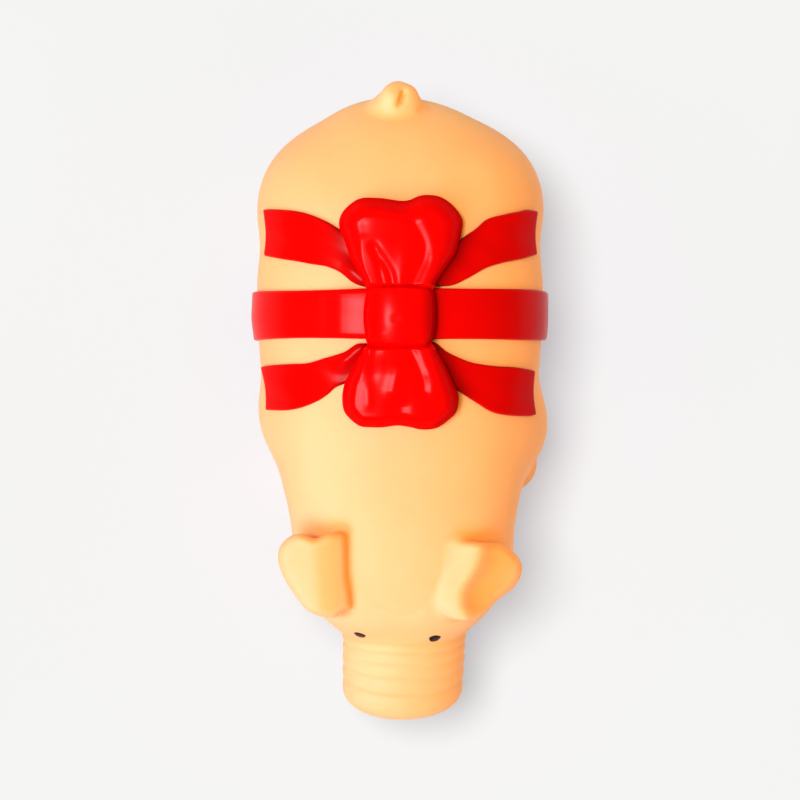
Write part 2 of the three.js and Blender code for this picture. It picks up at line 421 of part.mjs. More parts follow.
// ---------------------------------------------------------------- grunter: a plug with a reed, gripped by the belly's collar
const P = PLUG;
const housing = lathe([[P.bore, P.flangeBottom], [P.flange - 0.6, P.flangeBottom], [P.flange, P.flangeBottom + 0.6], [P.flange, P.flangeTop], [P.body, P.flangeTop], [P.body, P.lipBottom], [P.lip, P.lipBottom], [P.lip, P.lipTop - 0.6], [P.lip - 0.6, P.lipTop], [P.body, P.lipTop], [P.body, P.top], [P.bore, P.top], [P.bore, P.flangeBottom]], 24, P.x, P.y);
const grille = (() => {
  const s = new THREE.Shape();
  s.absarc(0, 0, P.bore - GAP, 0, 2 * Math.PI, false);
  for (let i = 0; i < 7; i++) {
    const r = i === 0 ? 0 : 4.9, a = i * Math.PI / 3, h = new THREE.Path();
    h.absarc(r * Math.cos(a), r * Math.sin(a), 1.15, 0, 2 * Math.PI, true);
    s.holes.push(h);
  }
  const g = new THREE.ExtrudeGeometry(s, { depth: 1.7, bevelEnabled: false, curveSegments: 5 });
  g.translate(P.x, P.y, P.flangeBottom + 0.6);
  return solid(g);
})();
function box(w, d, h, x, y, z) {
  const g = new THREE.BoxGeometry(w, d, h);
  g.translate(P.x + x, P.y + y, z + h / 2);
  return solid(g);
}
const seat = (() => {
  const s = new THREE.Shape();
  const r = P.bore - GAP;
  s.absarc(0, 0, r, Math.PI, 2 * Math.PI, false);
  s.lineTo(2.2, 0); s.lineTo(2.2, -4.6); s.lineTo(-2.2, -4.6); s.lineTo(-2.2, 0); s.closePath();
  const g = new THREE.ExtrudeGeometry(s, { depth: 13.6, bevelEnabled: false, curveSegments: 12 });
  g.translate(P.x, P.y, 9.0);
  let m = solid(g);
  return m.add(box(7.2, 1.9, 3.6, 0, -0.05, 19.0));      // raised pad under the reed's root
})();
const reed = box(REED.width, REED.thickness, REED.top - REED.bottom, 0, REED.y + REED.thickness / 2, REED.bottom);
const clamp = box(7.2, 4.2, 3.4, 0, REED.y + REED.thickness + GAP + 2.1, 19.1);

// ---------------------------------------------------------------- the assembled toy
const LATEX = { color: 0xffc981, roughness: 0.5, metalness: 0 };
const RED = { color: 0xe00808, roughness: 0.32, metalness: 0 };
const toy = new THREE.Group();
toy.name = "latex_pig_toy";
const assembly = new THREE.Group();
function piece(name, manifold, look) {
  const mesh = new THREE.Mesh(geometryOf(manifold), new THREE.MeshStandardMaterial(look));
  mesh.name = name;
  assembly.add(mesh);
  return mesh;
}
piece("body_skin", skin, LATEX);
piece("ribbon_band", band, RED);
piece("bow_knot", knot, RED);
piece("bow_loop_rear", loopRear, RED);
piece("bow_loop_front", loopFront, RED);
for (const [name, S] of Object.entries(STRIPS)) piece(name, strip(S), RED);
piece("eye_left", eye(11.97, -81.94, 0.16), { color: 0x2a1515, roughness: 0.3, metalness: 0 });
piece("eye_right", eye(-13.84, -80.91, -0.22), { color: 0x2a1515, roughness: 0.3, metalness: 0 });
piece("fibre_filling", filling, { color: 0xf4f2ec, roughness: 0.95, metalness: 0 });
piece("grunter_housing", housing, { color: 0xf0eee6, roughness: 0.4, metalness: 0 });
piece("grunter_grille", grille, { color: 0xf0eee6, roughness: 0.4, metalness: 0 });
piece("grunter_reed_seat", seat, { color: 0xe8e4d8, roughness: 0.45, metalness: 0 });
piece("grunter_reed", reed, { color: 0xd9c89a, roughness: 0.35, metalness: 0 });
piece("grunter_reed_clamp", clamp, { color: 0xe8e4d8, roughness: 0.45, metalness: 0 });
toy.add(assembly);

// centre the toy over its own footprint box
const bounds = new THREE.Box3().setFromObject(toy);
assembly.position.set(-(bounds.min.x + bounds.max.x) / 2, -(bounds.min.y + bounds.max.y) / 2, 0);
toy.updateMatrixWorld(true);

export default toy;
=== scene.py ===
import math

import bpy
import numpy as np
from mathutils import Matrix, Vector


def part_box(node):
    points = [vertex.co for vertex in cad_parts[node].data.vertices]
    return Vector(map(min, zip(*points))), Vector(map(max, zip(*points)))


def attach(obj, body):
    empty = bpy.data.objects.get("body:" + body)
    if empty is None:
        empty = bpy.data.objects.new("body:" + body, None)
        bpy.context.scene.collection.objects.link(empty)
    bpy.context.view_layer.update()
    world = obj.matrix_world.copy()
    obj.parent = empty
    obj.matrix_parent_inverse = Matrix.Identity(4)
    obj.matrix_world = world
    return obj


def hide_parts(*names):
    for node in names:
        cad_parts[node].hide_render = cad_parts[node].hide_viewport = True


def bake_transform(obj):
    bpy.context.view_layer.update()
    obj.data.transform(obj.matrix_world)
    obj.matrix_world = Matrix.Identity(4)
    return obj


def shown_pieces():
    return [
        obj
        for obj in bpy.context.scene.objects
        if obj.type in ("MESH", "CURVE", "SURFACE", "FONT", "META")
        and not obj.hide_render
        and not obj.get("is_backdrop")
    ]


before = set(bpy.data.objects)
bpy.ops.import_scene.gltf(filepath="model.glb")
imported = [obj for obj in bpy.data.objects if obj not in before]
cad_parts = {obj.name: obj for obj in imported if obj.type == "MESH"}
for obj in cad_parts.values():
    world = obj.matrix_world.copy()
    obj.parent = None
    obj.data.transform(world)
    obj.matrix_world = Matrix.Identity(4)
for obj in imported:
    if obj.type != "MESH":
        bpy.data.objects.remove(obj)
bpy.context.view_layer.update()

# Everything below is drawn in millimetres in the toy's own drawing, then moved by SHIFT and scaled to metres.
# Snout toward -Y, tail toward +Y, soles at z = 0. The grunter's plug is at (0, -2) in the drawing.
_lo, _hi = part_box("grunter_housing")
SHIFT = np.array([(_lo.x + _hi.x) * 500.0, (_lo.y + _hi.y) * 500.0 + 2.0, 0.0])
CELL = 0.97


# ------------------------------------------------------------------ the pig's form as one smooth field
SNOUT = dict(x=0.75, y=-105.3, z=34.5, w=21.0, h=18.9, rim=5.5, tilt=math.radians(24), bend=0.0083)
RINGS = [(9.2, 0.75), (14.5, 0.62), (18.9, 0.60), (22.6, 0.72), (26.0, 0.70)]     # creases: mm behind the face, depth
STATIONS = np.array([
    [110, 46.0, -2.0, 86.0, 10.5], [104, 46.0, -1.3, 86.0, 10.5], [94, 46.2, 0.1, 86.0, 10.5], [80, 47.0, 0.4, 86.0, 10.4],
    [60, 47.4, 0.0, 86.6, 10.0], [50, 48.8, 0.0, 87.2, 9.4], [40, 49.6, 0.0, 87.8, 9.0], [30, 49.6, 0.0, 88.0, 9.0],
    [20, 49.0, 0.0, 88.0, 9.0], [10, 48.2, 0.0, 87.6, 9.0], [0, 47.0, 0.0, 87.2, 9.0], [-10, 45.5, 0.2, 86.6, 9.2],
    [-20, 43.7, 0.5, 85.8, 9.8], [-30, 41.6, 0.9, 84.4, 10.8], [-38, 39.8, 1.0, 82.8, 11.8], [-47, 38.6, 1.0, 80.6, 13.0],
    [-60, 38.4, 1.0, 78.6, 14.0], [-110, 38.4, 1.0, 78.0, 15.0]])[::-1]


def monotone_table(step=0.1):
    """The stations joined by a monotone cubic, sampled finely."""
    y, v = STATIONS[:, 0], STATIONS[:, 1:]
    d = (v[1:] - v[:-1]) / (y[1:] - y[:-1])[:, None]
    m = np.empty_like(v)
    m[0], m[-1] = d[0], d[-1]
    a, b = d[:-1], d[1:]
    m[1:-1] = np.where(a * b > 0, 2 * a * b / np.where(np.abs(a + b) < 1e-12, 1, a + b), 0)
    ys = np.arange(y[0], y[-1] + step / 2, step)
    i = np.clip(np.searchsorted(y, ys, side="right") - 1, 0, len(y) - 2)
    h = (y[i + 1] - y[i])[:, None]
    t = (ys - y[i])[:, None] / h
    out = v[i] * (2 * t**3 - 3 * t**2 + 1) + m[i] * h * (t**3 - 2 * t**2 + t) + v[i + 1] * (-2 * t**3 + 3 * t**2) + m[i + 1] * h * (t**3 - t**2)
    return ys, out


TABLE_Y, TABLE_V = monotone_table()


def smin(a, b, k):
    h = np.maximum(k - np.abs(a - b), 0) / k
    return np.minimum(a, b) - h * h * k * 0.25


def smax(a, b, k):
    return -smin(-a, -b, k)


def step01(t):
    t = np.clip(t, 0, 1)
    return t * t * (3 - 2 * t)


def rounded(a, b, r):
    """Two half spaces a < 0 and b < 0 met with a rounded edge of radius r."""
    a, b = a + r, b + r
    return np.minimum(np.maximum(a, b), 0) + np.hypot(np.maximum(a, 0), np.maximum(b, 0)) - r


def barrel(x, y, z):
    n = 2.4
    w, xc, zt, zb = (np.interp(y, TABLE_Y, TABLE_V[:, c]) for c in range(4))
    zc, h = (zt + zb) / 2, (zt - zb) / 2
    a, b = np.abs(x - xc) / w, np.abs(z - zc) / h
    g = np.maximum(1e-6, (a**n + b**n) ** (1 / n))
    e = np.where(y > 60, (y - 60) / 45.2, np.where(y < -50, (-50 - y) / 37, 0))
    length = np.where(y > 60, 45.2, 37)
    k0 = np.maximum(1e-6, np.hypot(g, e))
    q = g ** (2 - n) / k0
    gx, gz, gy = q * a ** (n - 1) / w, q * b ** (n - 1) / h, e / length / k0
    return (k0 - 1) / np.maximum(1 / 60, np.sqrt(gx * gx + gy * gy + gz * gz))


def ellipsoid(x, y, z, c, r):
    px, py, pz = x - c[0], y - c[1], z - c[2]
    k0 = np.sqrt((px / r[0]) ** 2 + (py / r[1]) ** 2 + (pz / r[2]) ** 2)
    k1 = np.sqrt((px / r[0] ** 2) ** 2 + (py / r[1] ** 2) ** 2 + (pz / r[2] ** 2) ** 2)
    return np.where(k1 < 1e-9, -min(r), k0 * (k0 - 1) / np.maximum(k1, 1e-9))


def snout_axis(g):
    a, b = SNOUT["tilt"], SNOUT["tilt"] - SNOUT["bend"] * g
    return SNOUT["y"] + (math.sin(a) - np.sin(b)) / SNOUT["bend"], SNOUT["z"] + (np.cos(b) - math.cos(a)) / SNOUT["bend"], b


def snout_coords(x, y, z):
    """g: mm behind the face along the bent axis; v: height over it; px: sideways from it."""
    g = np.full(np.shape(x), 8.0)
    for _ in range(5):
        cy, cz, b = snout_axis(g)
        g = np.clip(g + (y - cy) * np.cos(b) + (z - cz) * np.sin(b), -40, 60)
    cy, cz, b = snout_axis(g)
    v = -(y - cy) * np.sin(b) + (z - cz) * np.cos(b)
    return g, v, x - SNOUT["x"] - 0.03 * np.maximum(0, g)


def snout(x, y, z):
    g, v, px = snout_coords(x, y, z)
    t = np.maximum(0, g)
    w, h, m = SNOUT["w"] + 0.035 * t, SNOUT["h"] + 0.03 * t, 2.03
    qx, qv = np.abs(px) / w, np.abs(v) / h
    rho = np.maximum(1e-6, (qx**m + qv**m) ** (1 / m))
    slope = rho ** (1 - m) * np.hypot(qx ** (m - 1) / w, qv ** (m - 1) / h)
    side = (rho - 1) / np.maximum(slope, 1 / 30)
    for g0, depth in RINGS:          # each fold laps a little over the next one toward the tip
        q = g0 - g
        lap = np.where(q > 0, np.exp(-np.maximum(q, 0) / 2.4), np.exp(-((np.minimum(q, 0) / 0.75) ** 2)))
        side = side + depth * (0.55 * lap + 0.5 * np.exp(-((q / 0.95) ** 2)))
    # the disc at the front is dished a little inside its rim
    dish = 0.9 * (1 - step01((rho - 0.55) / 0.25))
    return rounded(side, np.maximum(-g + dish, g - 36), SNOUT["rim"])


HAMS = [((25.3, 68.5, 42), (24.2, 25.4, 35)), ((-25.1, 68.2, 42), (24.1, 25.4, 35))]
SHOULDERS = [((29.8, -8.3, 39), (21.8, 21, 30.5)), ((-28.3, -4.5, 39), (20.6, 19.5, 30.5))]


def torso(x, y, z):
    d = barrel(x, y, z)
    for c, r in HAMS + SHOULDERS:
        d = smin(d, ellipsoid(x, y, z, c, r), 7)
    return smin(d, snout(x, y, z), 2.4)


LEGS = [((33, -13, 30), (39.3, -23.2, 0), 10.6), ((-30.5, -12, 30), (-33.2, -23.5, 0), 10.4),
        ((31, 67, 30), (33.5, 65, 0), 11.2), ((-31, 67, 30), (-33.5, 65, 0), 11.2)]


def leg(x, y, z, top, sole, r):
    t = z / 30
    cx, cy = sole[0] + (top[0] - sole[0]) * t, sole[1] + (top[1] - sole[1]) * t
    side = np.hypot(x - cx, y - cy) - r - 2.2 * np.maximum(0, t) ** 1.5
    # a shallow crease over the hoof, and the cleft between its two toes at the front
    side = side + 0.45 * np.exp(-(((z - 7.2 - 0.10 * (y - cy)) / 1.0) ** 2))
    front = step01((cy - y) / r * 2.0 - 0.6)
    side = side + 1.2 * front * np.exp(-(((x - cx) / 0.9) ** 2)) * step01((8.2 - z) / 2.5)
    return rounded(side, np.maximum(-z, z - 34), 2.0)


EAR_LEFT = np.array([[38.2, -51.6], [40.3, -53.4], [41.7, -56.3], [41.7, -59.7], [40.1, -63.2], [37.9, -65.5], [34.5, -67.9], [30.7, -71.4], [28.0, -73.2], [25.3, -74.4], [21.8, -75.1], [17.4, -74.4], [13.8, -72.7], [11.9, -69.6], [11.9, -66.6], [13.0, -63.2], [14.0, -59.1], [13.8, -53.9], [14.3, -50.2], [16.4, -47.8], [21.8, -47.5], [27.3, -48.1], [33.8, -48.5], [36.4, -49.7]])
EAR_RIGHT = np.array([[-37.2, -46.2], [-39.5, -48.1], [-41.0, -50.2], [-41.7, -53.3], [-41.0, -57.4], [-39.3, -61.5], [-37.2, -64.9], [-34.5, -68.6], [-31.8, -71.7], [-27.3, -73.7], [-22.2, -74.1], [-19.1, -72.0], [-16.4, -71.0], [-15.7, -67.9], [-16.0, -64.5], [-17.4, -60.4], [-17.4, -55.3], [-17.6, -49.5], [-18.6, -45.4], [-22.4, -44.9], [-25.6, -45.7], [-28.6, -46.9], [-31.2, -46.0], [-34.2, -45.3]])


def smooth_closed(points, per=6):
    """A closed Catmull-Rom line through the points."""
    p = np.asarray(points, float)
    a, b, c, d = np.roll(p, 1, 0), p, np.roll(p, -1, 0), np.roll(p, -2, 0)
    out = []
    for t in np.arange(per) / per:
        out.append(0.5 * (2 * b + (c - a) * t + (2 * a - 5 * b + 4 * c - d) * t * t + (3 * b - a - 3 * c + d) * t**3))
    return np.stack(out, 1).reshape(-1, p.shape[1])


def smooth_open(points, n=80):
    """n points at even spacing along an open Catmull-Rom line."""
    p = np.asarray(points, float)
    q = np.vstack([2 * p[0] - p[1], p, 2 * p[-1] - p[-2]])
    out = []
    for i in range(1, len(q) - 2):
        a, b, c, d = q[i - 1], q[i], q[i + 1], q[i + 2]
        t = (np.arange(12) / 12)[:, None]
        out.append(0.5 * (2 * b + (c - a) * t + (2 * a - 5 * b + 4 * c - d) * t * t + (3 * b - a - 3 * c + d) * t**3))
    line = np.vstack(out + [p[-1:]])
    s = np.concatenate([[0], np.cumsum(np.linalg.norm(np.diff(line, axis=0), axis=1))])
    u = np.linspace(0, s[-1], n)
    return np.stack([np.interp(u, s, line[:, k]) for k in range(p.shape[1])], 1)


def poly_dist(x, y, line):
    """Signed distance to a closed outline in plan, negative inside."""
    d = np.full(np.shape(x), 1e18)
    inside = np.zeros(np.shape(x), bool)
    for i in range(len(line)):
        a, b = line[i - 1], line[i]
        ex, ey = b - a
        wx, wy = x - a[0], y - a[1]
        t = np.clip((wx * ex + wy * ey) / (ex * ex + ey * ey), 0, 1)
        d = np.minimum(d, (wx - ex * t) ** 2 + (wy - ey * t) ** 2)
        if ey != 0:
            cross = ((b[1] > y) != (a[1] > y)) & (x < (a[0] - b[0]) * (y - b[1]) / (a[1] - b[1]) + b[0])
            inside ^= cross
    return np.where(inside, -np.sqrt(d), np.sqrt(d))


def line_dist(x, y, line):
    """Distance in plan to an open line, and how far along it (0 to 1) the nearest point is."""
    line = np.asarray(line, float)
    s = np.concatenate([[0], np.cumsum(np.linalg.norm(np.diff(line[:, :2], axis=0), axis=1))])
    best, along = np.full(np.shape(x), 1e18), np.zeros(np.shape(x))
    for i in range(1, len(line)):
        a, b = line[i - 1, :2], line[i, :2]
        ex, ey = b - a
        wx, wy = x - a[0], y - a[1]
        t = np.clip((wx * ex + wy * ey) / (ex * ex + ey * ey), 0, 1)
        d = (wx - ex * t) ** 2 + (wy - ey * t) ** 2
        near = d < best
        best = np.where(near, d, best)
        along = np.where(near, (s[i - 1] + t * (s[i] - s[i - 1])) / s[-1], along)
    return np.sqrt(best), along


EAR_LINES = {1: smooth_closed(EAR_LEFT, 2), -1: smooth_closed(EAR_RIGHT, 2)}


EAR_RIM = smooth_open([(12.6, -69.4), (14.2, -72.2), (17.6, -74.0), (21.6, -74.5), (25.2, -73.8), (28.2, -72.4), (31.2, -70.2)], 24)
RIDGE_LEFT = np.array([[-76, 22.6], [-73, 21.8], [-69.5, 20.4], [-66, 20.3], [-63, 21.3], [-60, 23.3], [-56, 25.6], [-51, 26.9], [-46, 27.6]])


def ear_top(x, y, side):
    """The ear's upper face: folded over a ridge line, dished outside it on the pig's left, rolled inward on its right."""
    u = side * x
    zr = 83.5 + (y + 50) * 0.3
    if side > 0:
        ur = np.interp(y, RIDGE_LEFT[:, 0], RIDGE_LEFT[:, 1])
        q = u - ur
        inner = 0.85 * (np.sqrt(q * q + 12) - math.sqrt(12))
        fall = 0.50 * (np.sqrt(q * q + 5) - math.sqrt(5)) + 3.8 * (1 - np.exp(-((np.maximum(q, 0) / 3.8) ** 1.6)))
        return zr - np.where(q < 0, inner, fall)
    ur = 27.0 - 1.0 * np.clip((-52 - y) / 20, 0, 1)
    q = u - ur
    roll = np.clip(-q / 9.9, 0, 0.985)
    inner = 8.6 * (1 - (1 - roll**2.7) ** (1 / 2.7)) + 2.4 * np.maximum(0, -q - 9.75)
    return zr + 0.4 - np.where(q < 0, inner, 0.70 * (np.sqrt(q * q + 20) - math.sqrt(20)))


def ear(x, y, z, side):
    thick = 8.4
    top = ear_top(x, y, side)
    d = rounded(poly_dist(x, y, EAR_LINES[side]), (np.abs(z - top + thick / 2) - thick / 2) * 0.7, 2.8)
    if side > 0:          # a thin raised rim round the lower end of the fold
        rim, along = line_dist(x, y, EAR_RIM)
        d = d - 0.55 * np.exp(-((rim / 0.75) ** 2)) * step01(along * 6) * step01((1 - along) * 4)
    return d


def capsule(x, y, z, a, b, r):
    a, b = np.array(a, float), np.array(b, float)
    e = b - a
    t = np.clip(((x - a[0]) * e[0] + (y - a[1]) * e[1] + (z - a[2]) * e[2]) / (e @ e), 0, 1)
    return np.sqrt((x - a[0] - e[0] * t) ** 2 + (y - a[1] - e[1] * t) ** 2 + (z - a[2] - e[2] * t) ** 2) - r


CURL = smooth_open([(1.4, 107.0), (1.2, 105.4), (0.6, 103.2), (-0.3, 101.2), (-1.8, 99.6)], 24)


def tail(x, y, z):
    """The curled tail: a base, and a short strand wound round on itself with a groove between."""
    base = ellipsoid(x, y, z, (-1.2, 98.2, 61.5), (10.4, 8.4, 9.5))
    bulb = ellipsoid(x, y, z, (-0.2, 102.6, 63.6), (6.6, 6.4, 7.2))
    tip = ellipsoid(x, y, z, (-2.7, 103.0, 67.0), (4.0, 5.0, 4.6))
    strand = smin(capsule(x, y, z, (-0.6, 105.7, 65.8), (2.3, 104.2, 66.2), 3.4), capsule(x, y, z, (2.3, 104.2, 66.2), (3.5, 99.8, 65.6), 3.5), 1.0)
    d = smin(smin(tip, strand, 2.2), bulb, 1.5)
    d = smin(d, base, 2.2)
    groove, along = line_dist(x, y, CURL)
    top = step01((z - 60) / 5)
    d = d + 1.8 * top * np.exp(-((groove / 0.95) ** 2)) * step01(along * 3.2) * step01((1 - along) * 2.4)
    return d + 0.9 * top * np.exp(-((x - 6.9) ** 2 + (y - 99.2) ** 2) / 2.2)


# shallow marks pressed into the skin, in plan: points, depth, half-width, how the ends fade
MARKS = [
    ([(-25, -24.4), (-8, -25.5), (10, -25.6), (25, -24.2)], 0.26, 2.2),
    ([(-24, -28.5), (-6, -29.7), (10, -29.8), (24, -28.7)], 0.24, 2.1),
    ([(-22, -33.0), (0, -34.4), (20, -33.2)], 0.16, 2.2),
    ([(-8.9, -68.8), (-4.1, -71.2), (1.0, -72.5), (5.5, -72.6), (9.0, -71.8)], 0.42, 1.2),
]


def outer(x, y, z):
    """The outside of the whole skin."""
    d = torso(x, y, z)
    for top, sole, r in LEGS:
        near = (np.abs(x - sole[0]) < 30) & (np.abs(y - sole[1]) < 34) & (z < 44)
        if near.any():
            v = leg(x[near], y[near], z[near], top, sole, r)
            d[near] = smin(d[near], v, 6)
    near = (y < -14) & (y > -78) & (z > 60)
    if near.any():
        xs, ys, zs = x[near], y[near], z[near]
        dd = d[near]
        for pts, depth, width in MARKS:
            dist, along = line_dist(xs, ys, smooth_open(pts, 12))
            dd = dd + depth * np.exp(-((dist / width) ** 2)) * step01(along * 5) * step01((1 - along) * 5)
        d[near] = dd
    for side in (1, -1):
        near = (y < -36) & (y > -84) & (side * x > 2) & (z > 50)
        if near.any():
            e = ear(x[near], y[near], z[near], side)
            d[near] = smin(d[near], e, 3.4 if side > 0 else 2.6)
    near = (y > 84) & (np.abs(x) < 20) & (z > 42)
    if near.any():
        d[near] = smin(d[near], tail(x[near], y[near], z[near]), 2.6)
    # nostrils
    near = (y < -92) & (np.abs(x) < 22)
    if near.any():
        xs, ys, zs = x[near], y[near], z[near]
        g, v, px = snout_coords(xs, ys, zs)
        dd = d[near]
        for sx in (-6.4, 6.4):
            hole = ellipsoid(px, g, v, (sx, -0.4, 1.6), (2.5, 3.1, 3.6))
            dd = smax(dd, -hole, 1.2)
        d[near] = dd
    return d


PLUG = dict(x=0.0, y=-2.0, hole=11.0, collar=15.5, collar_top=13.6)
WALL = 2.35


def skin(x, y, z):
    """The hollow skin: the outside less the cavity and the round hole in the belly."""
    d = outer(x, y, z)
    r = np.hypot(x - PLUG["x"], y - PLUG["y"])
    cavity = torso(x, y, z) + WALL
    near = (y < -90) & (np.abs(x) < 26)
    if near.any():          # the disc at the front is thicker than the walls
        cavity[near] = np.maximum(cavity[near], 5.6 - snout_coords(x[near], y[near], z[near])[0])
    cavity = np.maximum(cavity, -rounded(r - PLUG["collar"], z - PLUG["collar_top"], 1.0))
    hole = np.maximum(r - PLUG["hole"], z - 20)
    return np.maximum(d, -smin(cavity, hole, 0.8))


def evaluate(f, p, chunk=400000):
    out = np.empty(len(p))
    for i in range(0, len(p), chunk):
        q = p[i:i + chunk]
        out[i:i + chunk] = f(q[:, 0].copy(), q[:, 1].copy(), q[:, 2].copy())
    return out


def gradient(f, p, e=0.15):
    d = [evaluate(f, p + np.eye(3)[k] * e) - evaluate(f, p - np.eye(3)[k] * e) for k in range(3)]
    return np.stack(d, 1) / (2 * e)


def project(f, p, times=2, limit=0.6):
    """Slides points onto f = 0."""
    for _ in range(times):
        v, g = evaluate(f, p), gradient(f, p)
        n2 = np.maximum((g * g).sum(1), 0.05)
        p = p - np.clip(v / n2, -limit, limit)[:, None] * g
    return p


def surface_net(f, low, high, cell):
    """A quad mesh of f = 0. Only cells near the surface are evaluated finely."""
    coarse = 4
    n = np.ceil((np.array(high) - low) / (cell * coarse)).astype(int)
    axes = [low[k] + cell * coarse * np.arange(n[k] + 1) for k in range(3)]
    grid = np.stack(np.meshgrid(*axes, indexing="ij"), -1).reshape(-1, 3)
    vc = evaluate(f, grid).reshape(n + 1)
    block = np.stack([vc[i:n[0] + i, j:n[1] + j, k:n[2] + k] for i in (0, 1) for j in (0, 1) for k in (0, 1)])
    near = np.abs(block).min(0) < cell * coarse * 1.9
    sign = np.where(block.mean(0) < 0, -9.0, 9.0)
    m = n * coarse + 1
    v = np.full(m, 9.0)
    full = np.repeat(np.repeat(np.repeat(sign, coarse, 0), coarse, 1), coarse, 2)
    v[:-1, :-1, :-1] = full
    wanted = np.zeros(m, bool)
    fine = np.repeat(np.repeat(np.repeat(near, coarse, 0), coarse, 1), coarse, 2)
    for i in (0, 1):
        for j in (0, 1):
            for k in (0, 1):
                wanted[i:m[0] - 1 + i, j:m[1] - 1 + j, k:m[2] - 1 + k] |= fine
    idx = np.argwhere(wanted)
    v[wanted] = evaluate(f, idx * cell + low)
    inside = v < 0
    s = inside.astype(np.int8)
    total = sum(s[i:m[0] - 1 + i, j:m[1] - 1 + j, k:m[2] - 1 + k] for i in (0, 1) for j in (0, 1) for k in (0, 1))
    active = (total > 0) & (total < 8)
    cells = np.argwhere(active)
    ids = np.full(m - 1, -1, np.int64)
    ids[active] = np.arange(len(cells))
    acc, cnt = np.zeros((len(cells), 3)), np.zeros(len(cells))
    for axis in range(3):
        o1, o2 = [a for a in range(3) if a != axis]
        for i in (0, 1):
            for j in (0, 1):
                a = cells.copy()
                a[:, o1] += i
                a[:, o2] += j
                b = a.copy()
                b[:, axis] += 1
                va, vb = v[tuple(a.T)], v[tuple(b.T)]
                crossing = (va < 0) != (vb < 0)
                t = np.where(crossing, va / np.where(crossing, va - vb, 1), 0)
                p = a.astype(float)
                p[:, axis] += t
                acc[crossing] += p[crossing]
                cnt[crossing] += 1
    points = acc / cnt[:, None] * cell + low
    quads = []
    for axis in range(3):
        o1, o2 = [(1, 2), (2, 0), (0, 1)][axis]
        shape = list(m)
        shape[axis] -= 1
        a = [slice(None)] * 3
        b = [slice(None)] * 3
        a[axis], b[axis] = slice(0, m[axis] - 1), slice(1, m[axis])
        cross = inside[tuple(a)] != inside[tuple(b)]
        e = np.argwhere(cross)
        ok = (e[:, o1] > 0) & (e[:, o2] > 0) & (e[:, o1] < m[o1] - 1) & (e[:, o2] < m[o2] - 1)
        e = e[ok]
        flip = inside[tuple(e.T)]
        def cell_at(di, dj):
            q = e.copy()
            q[:, o1] += di
            q[:, o2] += dj
            return ids[tuple(q.T)]
        q = np.stack([cell_at(-1, -1), cell_at(0, -1), cell_at(0, 0), cell_at(-1, 0)], 1)
        q[~flip] = q[~flip][:, ::-1]
        quads.append(q)
    return points, np.vstack(quads)


def relaxed(f, p, quads, rounds=2):
    """Evens out the mesh along the surface."""
    e = np.vstack([quads[:, [0, 1]], quads[:, [1, 2]], quads[:, [2, 3]], quads[:, [3, 0]]])
    e = np.vstack([e, e[:, ::-1]])
    count = np.bincount(e[:, 0], minlength=len(p))
    for _ in range(rounds):
        mean = np.stack([np.bincount(e[:, 0], weights=p[e[:, 1], k], minlength=len(p)) for k in range(3)], 1) / count[:, None]
        p = project(f, p + 0.55 * (mean - p), 1)
    return p


# ------------------------------------------------------------------ mesh helpers
def mesh_object(name, points, faces, attributes=None):
    """points in drawing millimetres."""
    mesh = bpy.data.meshes.new(name)
    co = ((np.asarray(points, float) + SHIFT) * 0.001).astype(np.float32)
    mesh.vertices.add(len(co))
    mesh.vertices.foreach_set("co", co.ravel())
    if isinstance(faces, np.ndarray):
        loops, sizes = faces.ravel(), np.full(len(faces), faces.shape[1])
    else:
        loops = np.concatenate([np.ravel(f) for f in faces])
        sizes = np.concatenate([np.full(len(f), f.shape[1]) for f in faces])
    starts = np.concatenate([[0], np.cumsum(sizes)[:-1]])
    mesh.loops.add(len(loops))
    mesh.loops.foreach_set("vertex_index", loops.astype(np.int32))
    mesh.polygons.add(len(sizes))
    mesh.polygons.foreach_set("loop_start", starts.astype(np.int32))
    mesh.update(calc_edges=True)
    mesh.validate()
    mesh.polygons.foreach_set("use_smooth", np.ones(len(mesh.polygons), bool))
    for key, values in (attributes or {}).items():
        a = mesh.attributes.new(key, "FLOAT", "POINT")
        a.data.foreach_set("value", np.asarray(values, np.float32))
    obj = bpy.data.objects.new(name, mesh)
    bpy.context.scene.collection.objects.link(obj)
    return obj


def points_of(obj):
    co = np.empty(len(obj.data.vertices) * 3, np.float32)
    obj.data.vertices.foreach_get("co", co)
    return co.reshape(-1, 3).astype(float) * 1000 - SHIFT


def grid_faces(rows, cols, wrap_rows=False, wrap_cols=False):
    r = np.arange(rows if wrap_rows else rows - 1)
    c = np.arange(cols if wrap_cols else cols - 1)
    i, j = (a.ravel() for a in np.meshgrid(r, c, indexing="ij"))
    i2, j2 = (i + 1) % rows, (j + 1) % cols
    return np.stack([i * cols + j, i * cols + j2, i2 * cols + j2, i2 * cols + j], 1)


def outward(points, faces):
    """Turns the faces round if the closed mesh is inside out."""
    tri = [f[:, [0, 1, 2]] for f in faces] + [f[:, [0, 2, 3]] for f in faces if f.shape[1] == 4]
    volume = sum((points[t[:, 0]] * np.cross(points[t[:, 1]], points[t[:, 2]])).sum() for t in tri)
    return faces if volume > 0 else [f[:, ::-1] for f in faces]


# the top of the skin without ears, tail or legs, as a height table the raised ribbons are laid on
TOP_X = np.arange(-52, 52.01, 1.0)
TOP_Y = np.arange(-90, 80.01, 1.0)


def top_table():
    gx, gy = np.meshgrid(TOP_X, TOP_Y, indexing="ij")
    lo, hi = np.full(gx.shape, 44.0).ravel(), np.full(gx.shape, 105.0).ravel()
    for _ in range(18):
        mid = (lo + hi) / 2
        inside = torso(gx.ravel(), gy.ravel(), mid) < 0
        lo, hi = np.where(inside, mid, lo), np.where(inside, hi, mid)
    return ((lo + hi) / 2).reshape(gx.shape)


TOP = top_table()


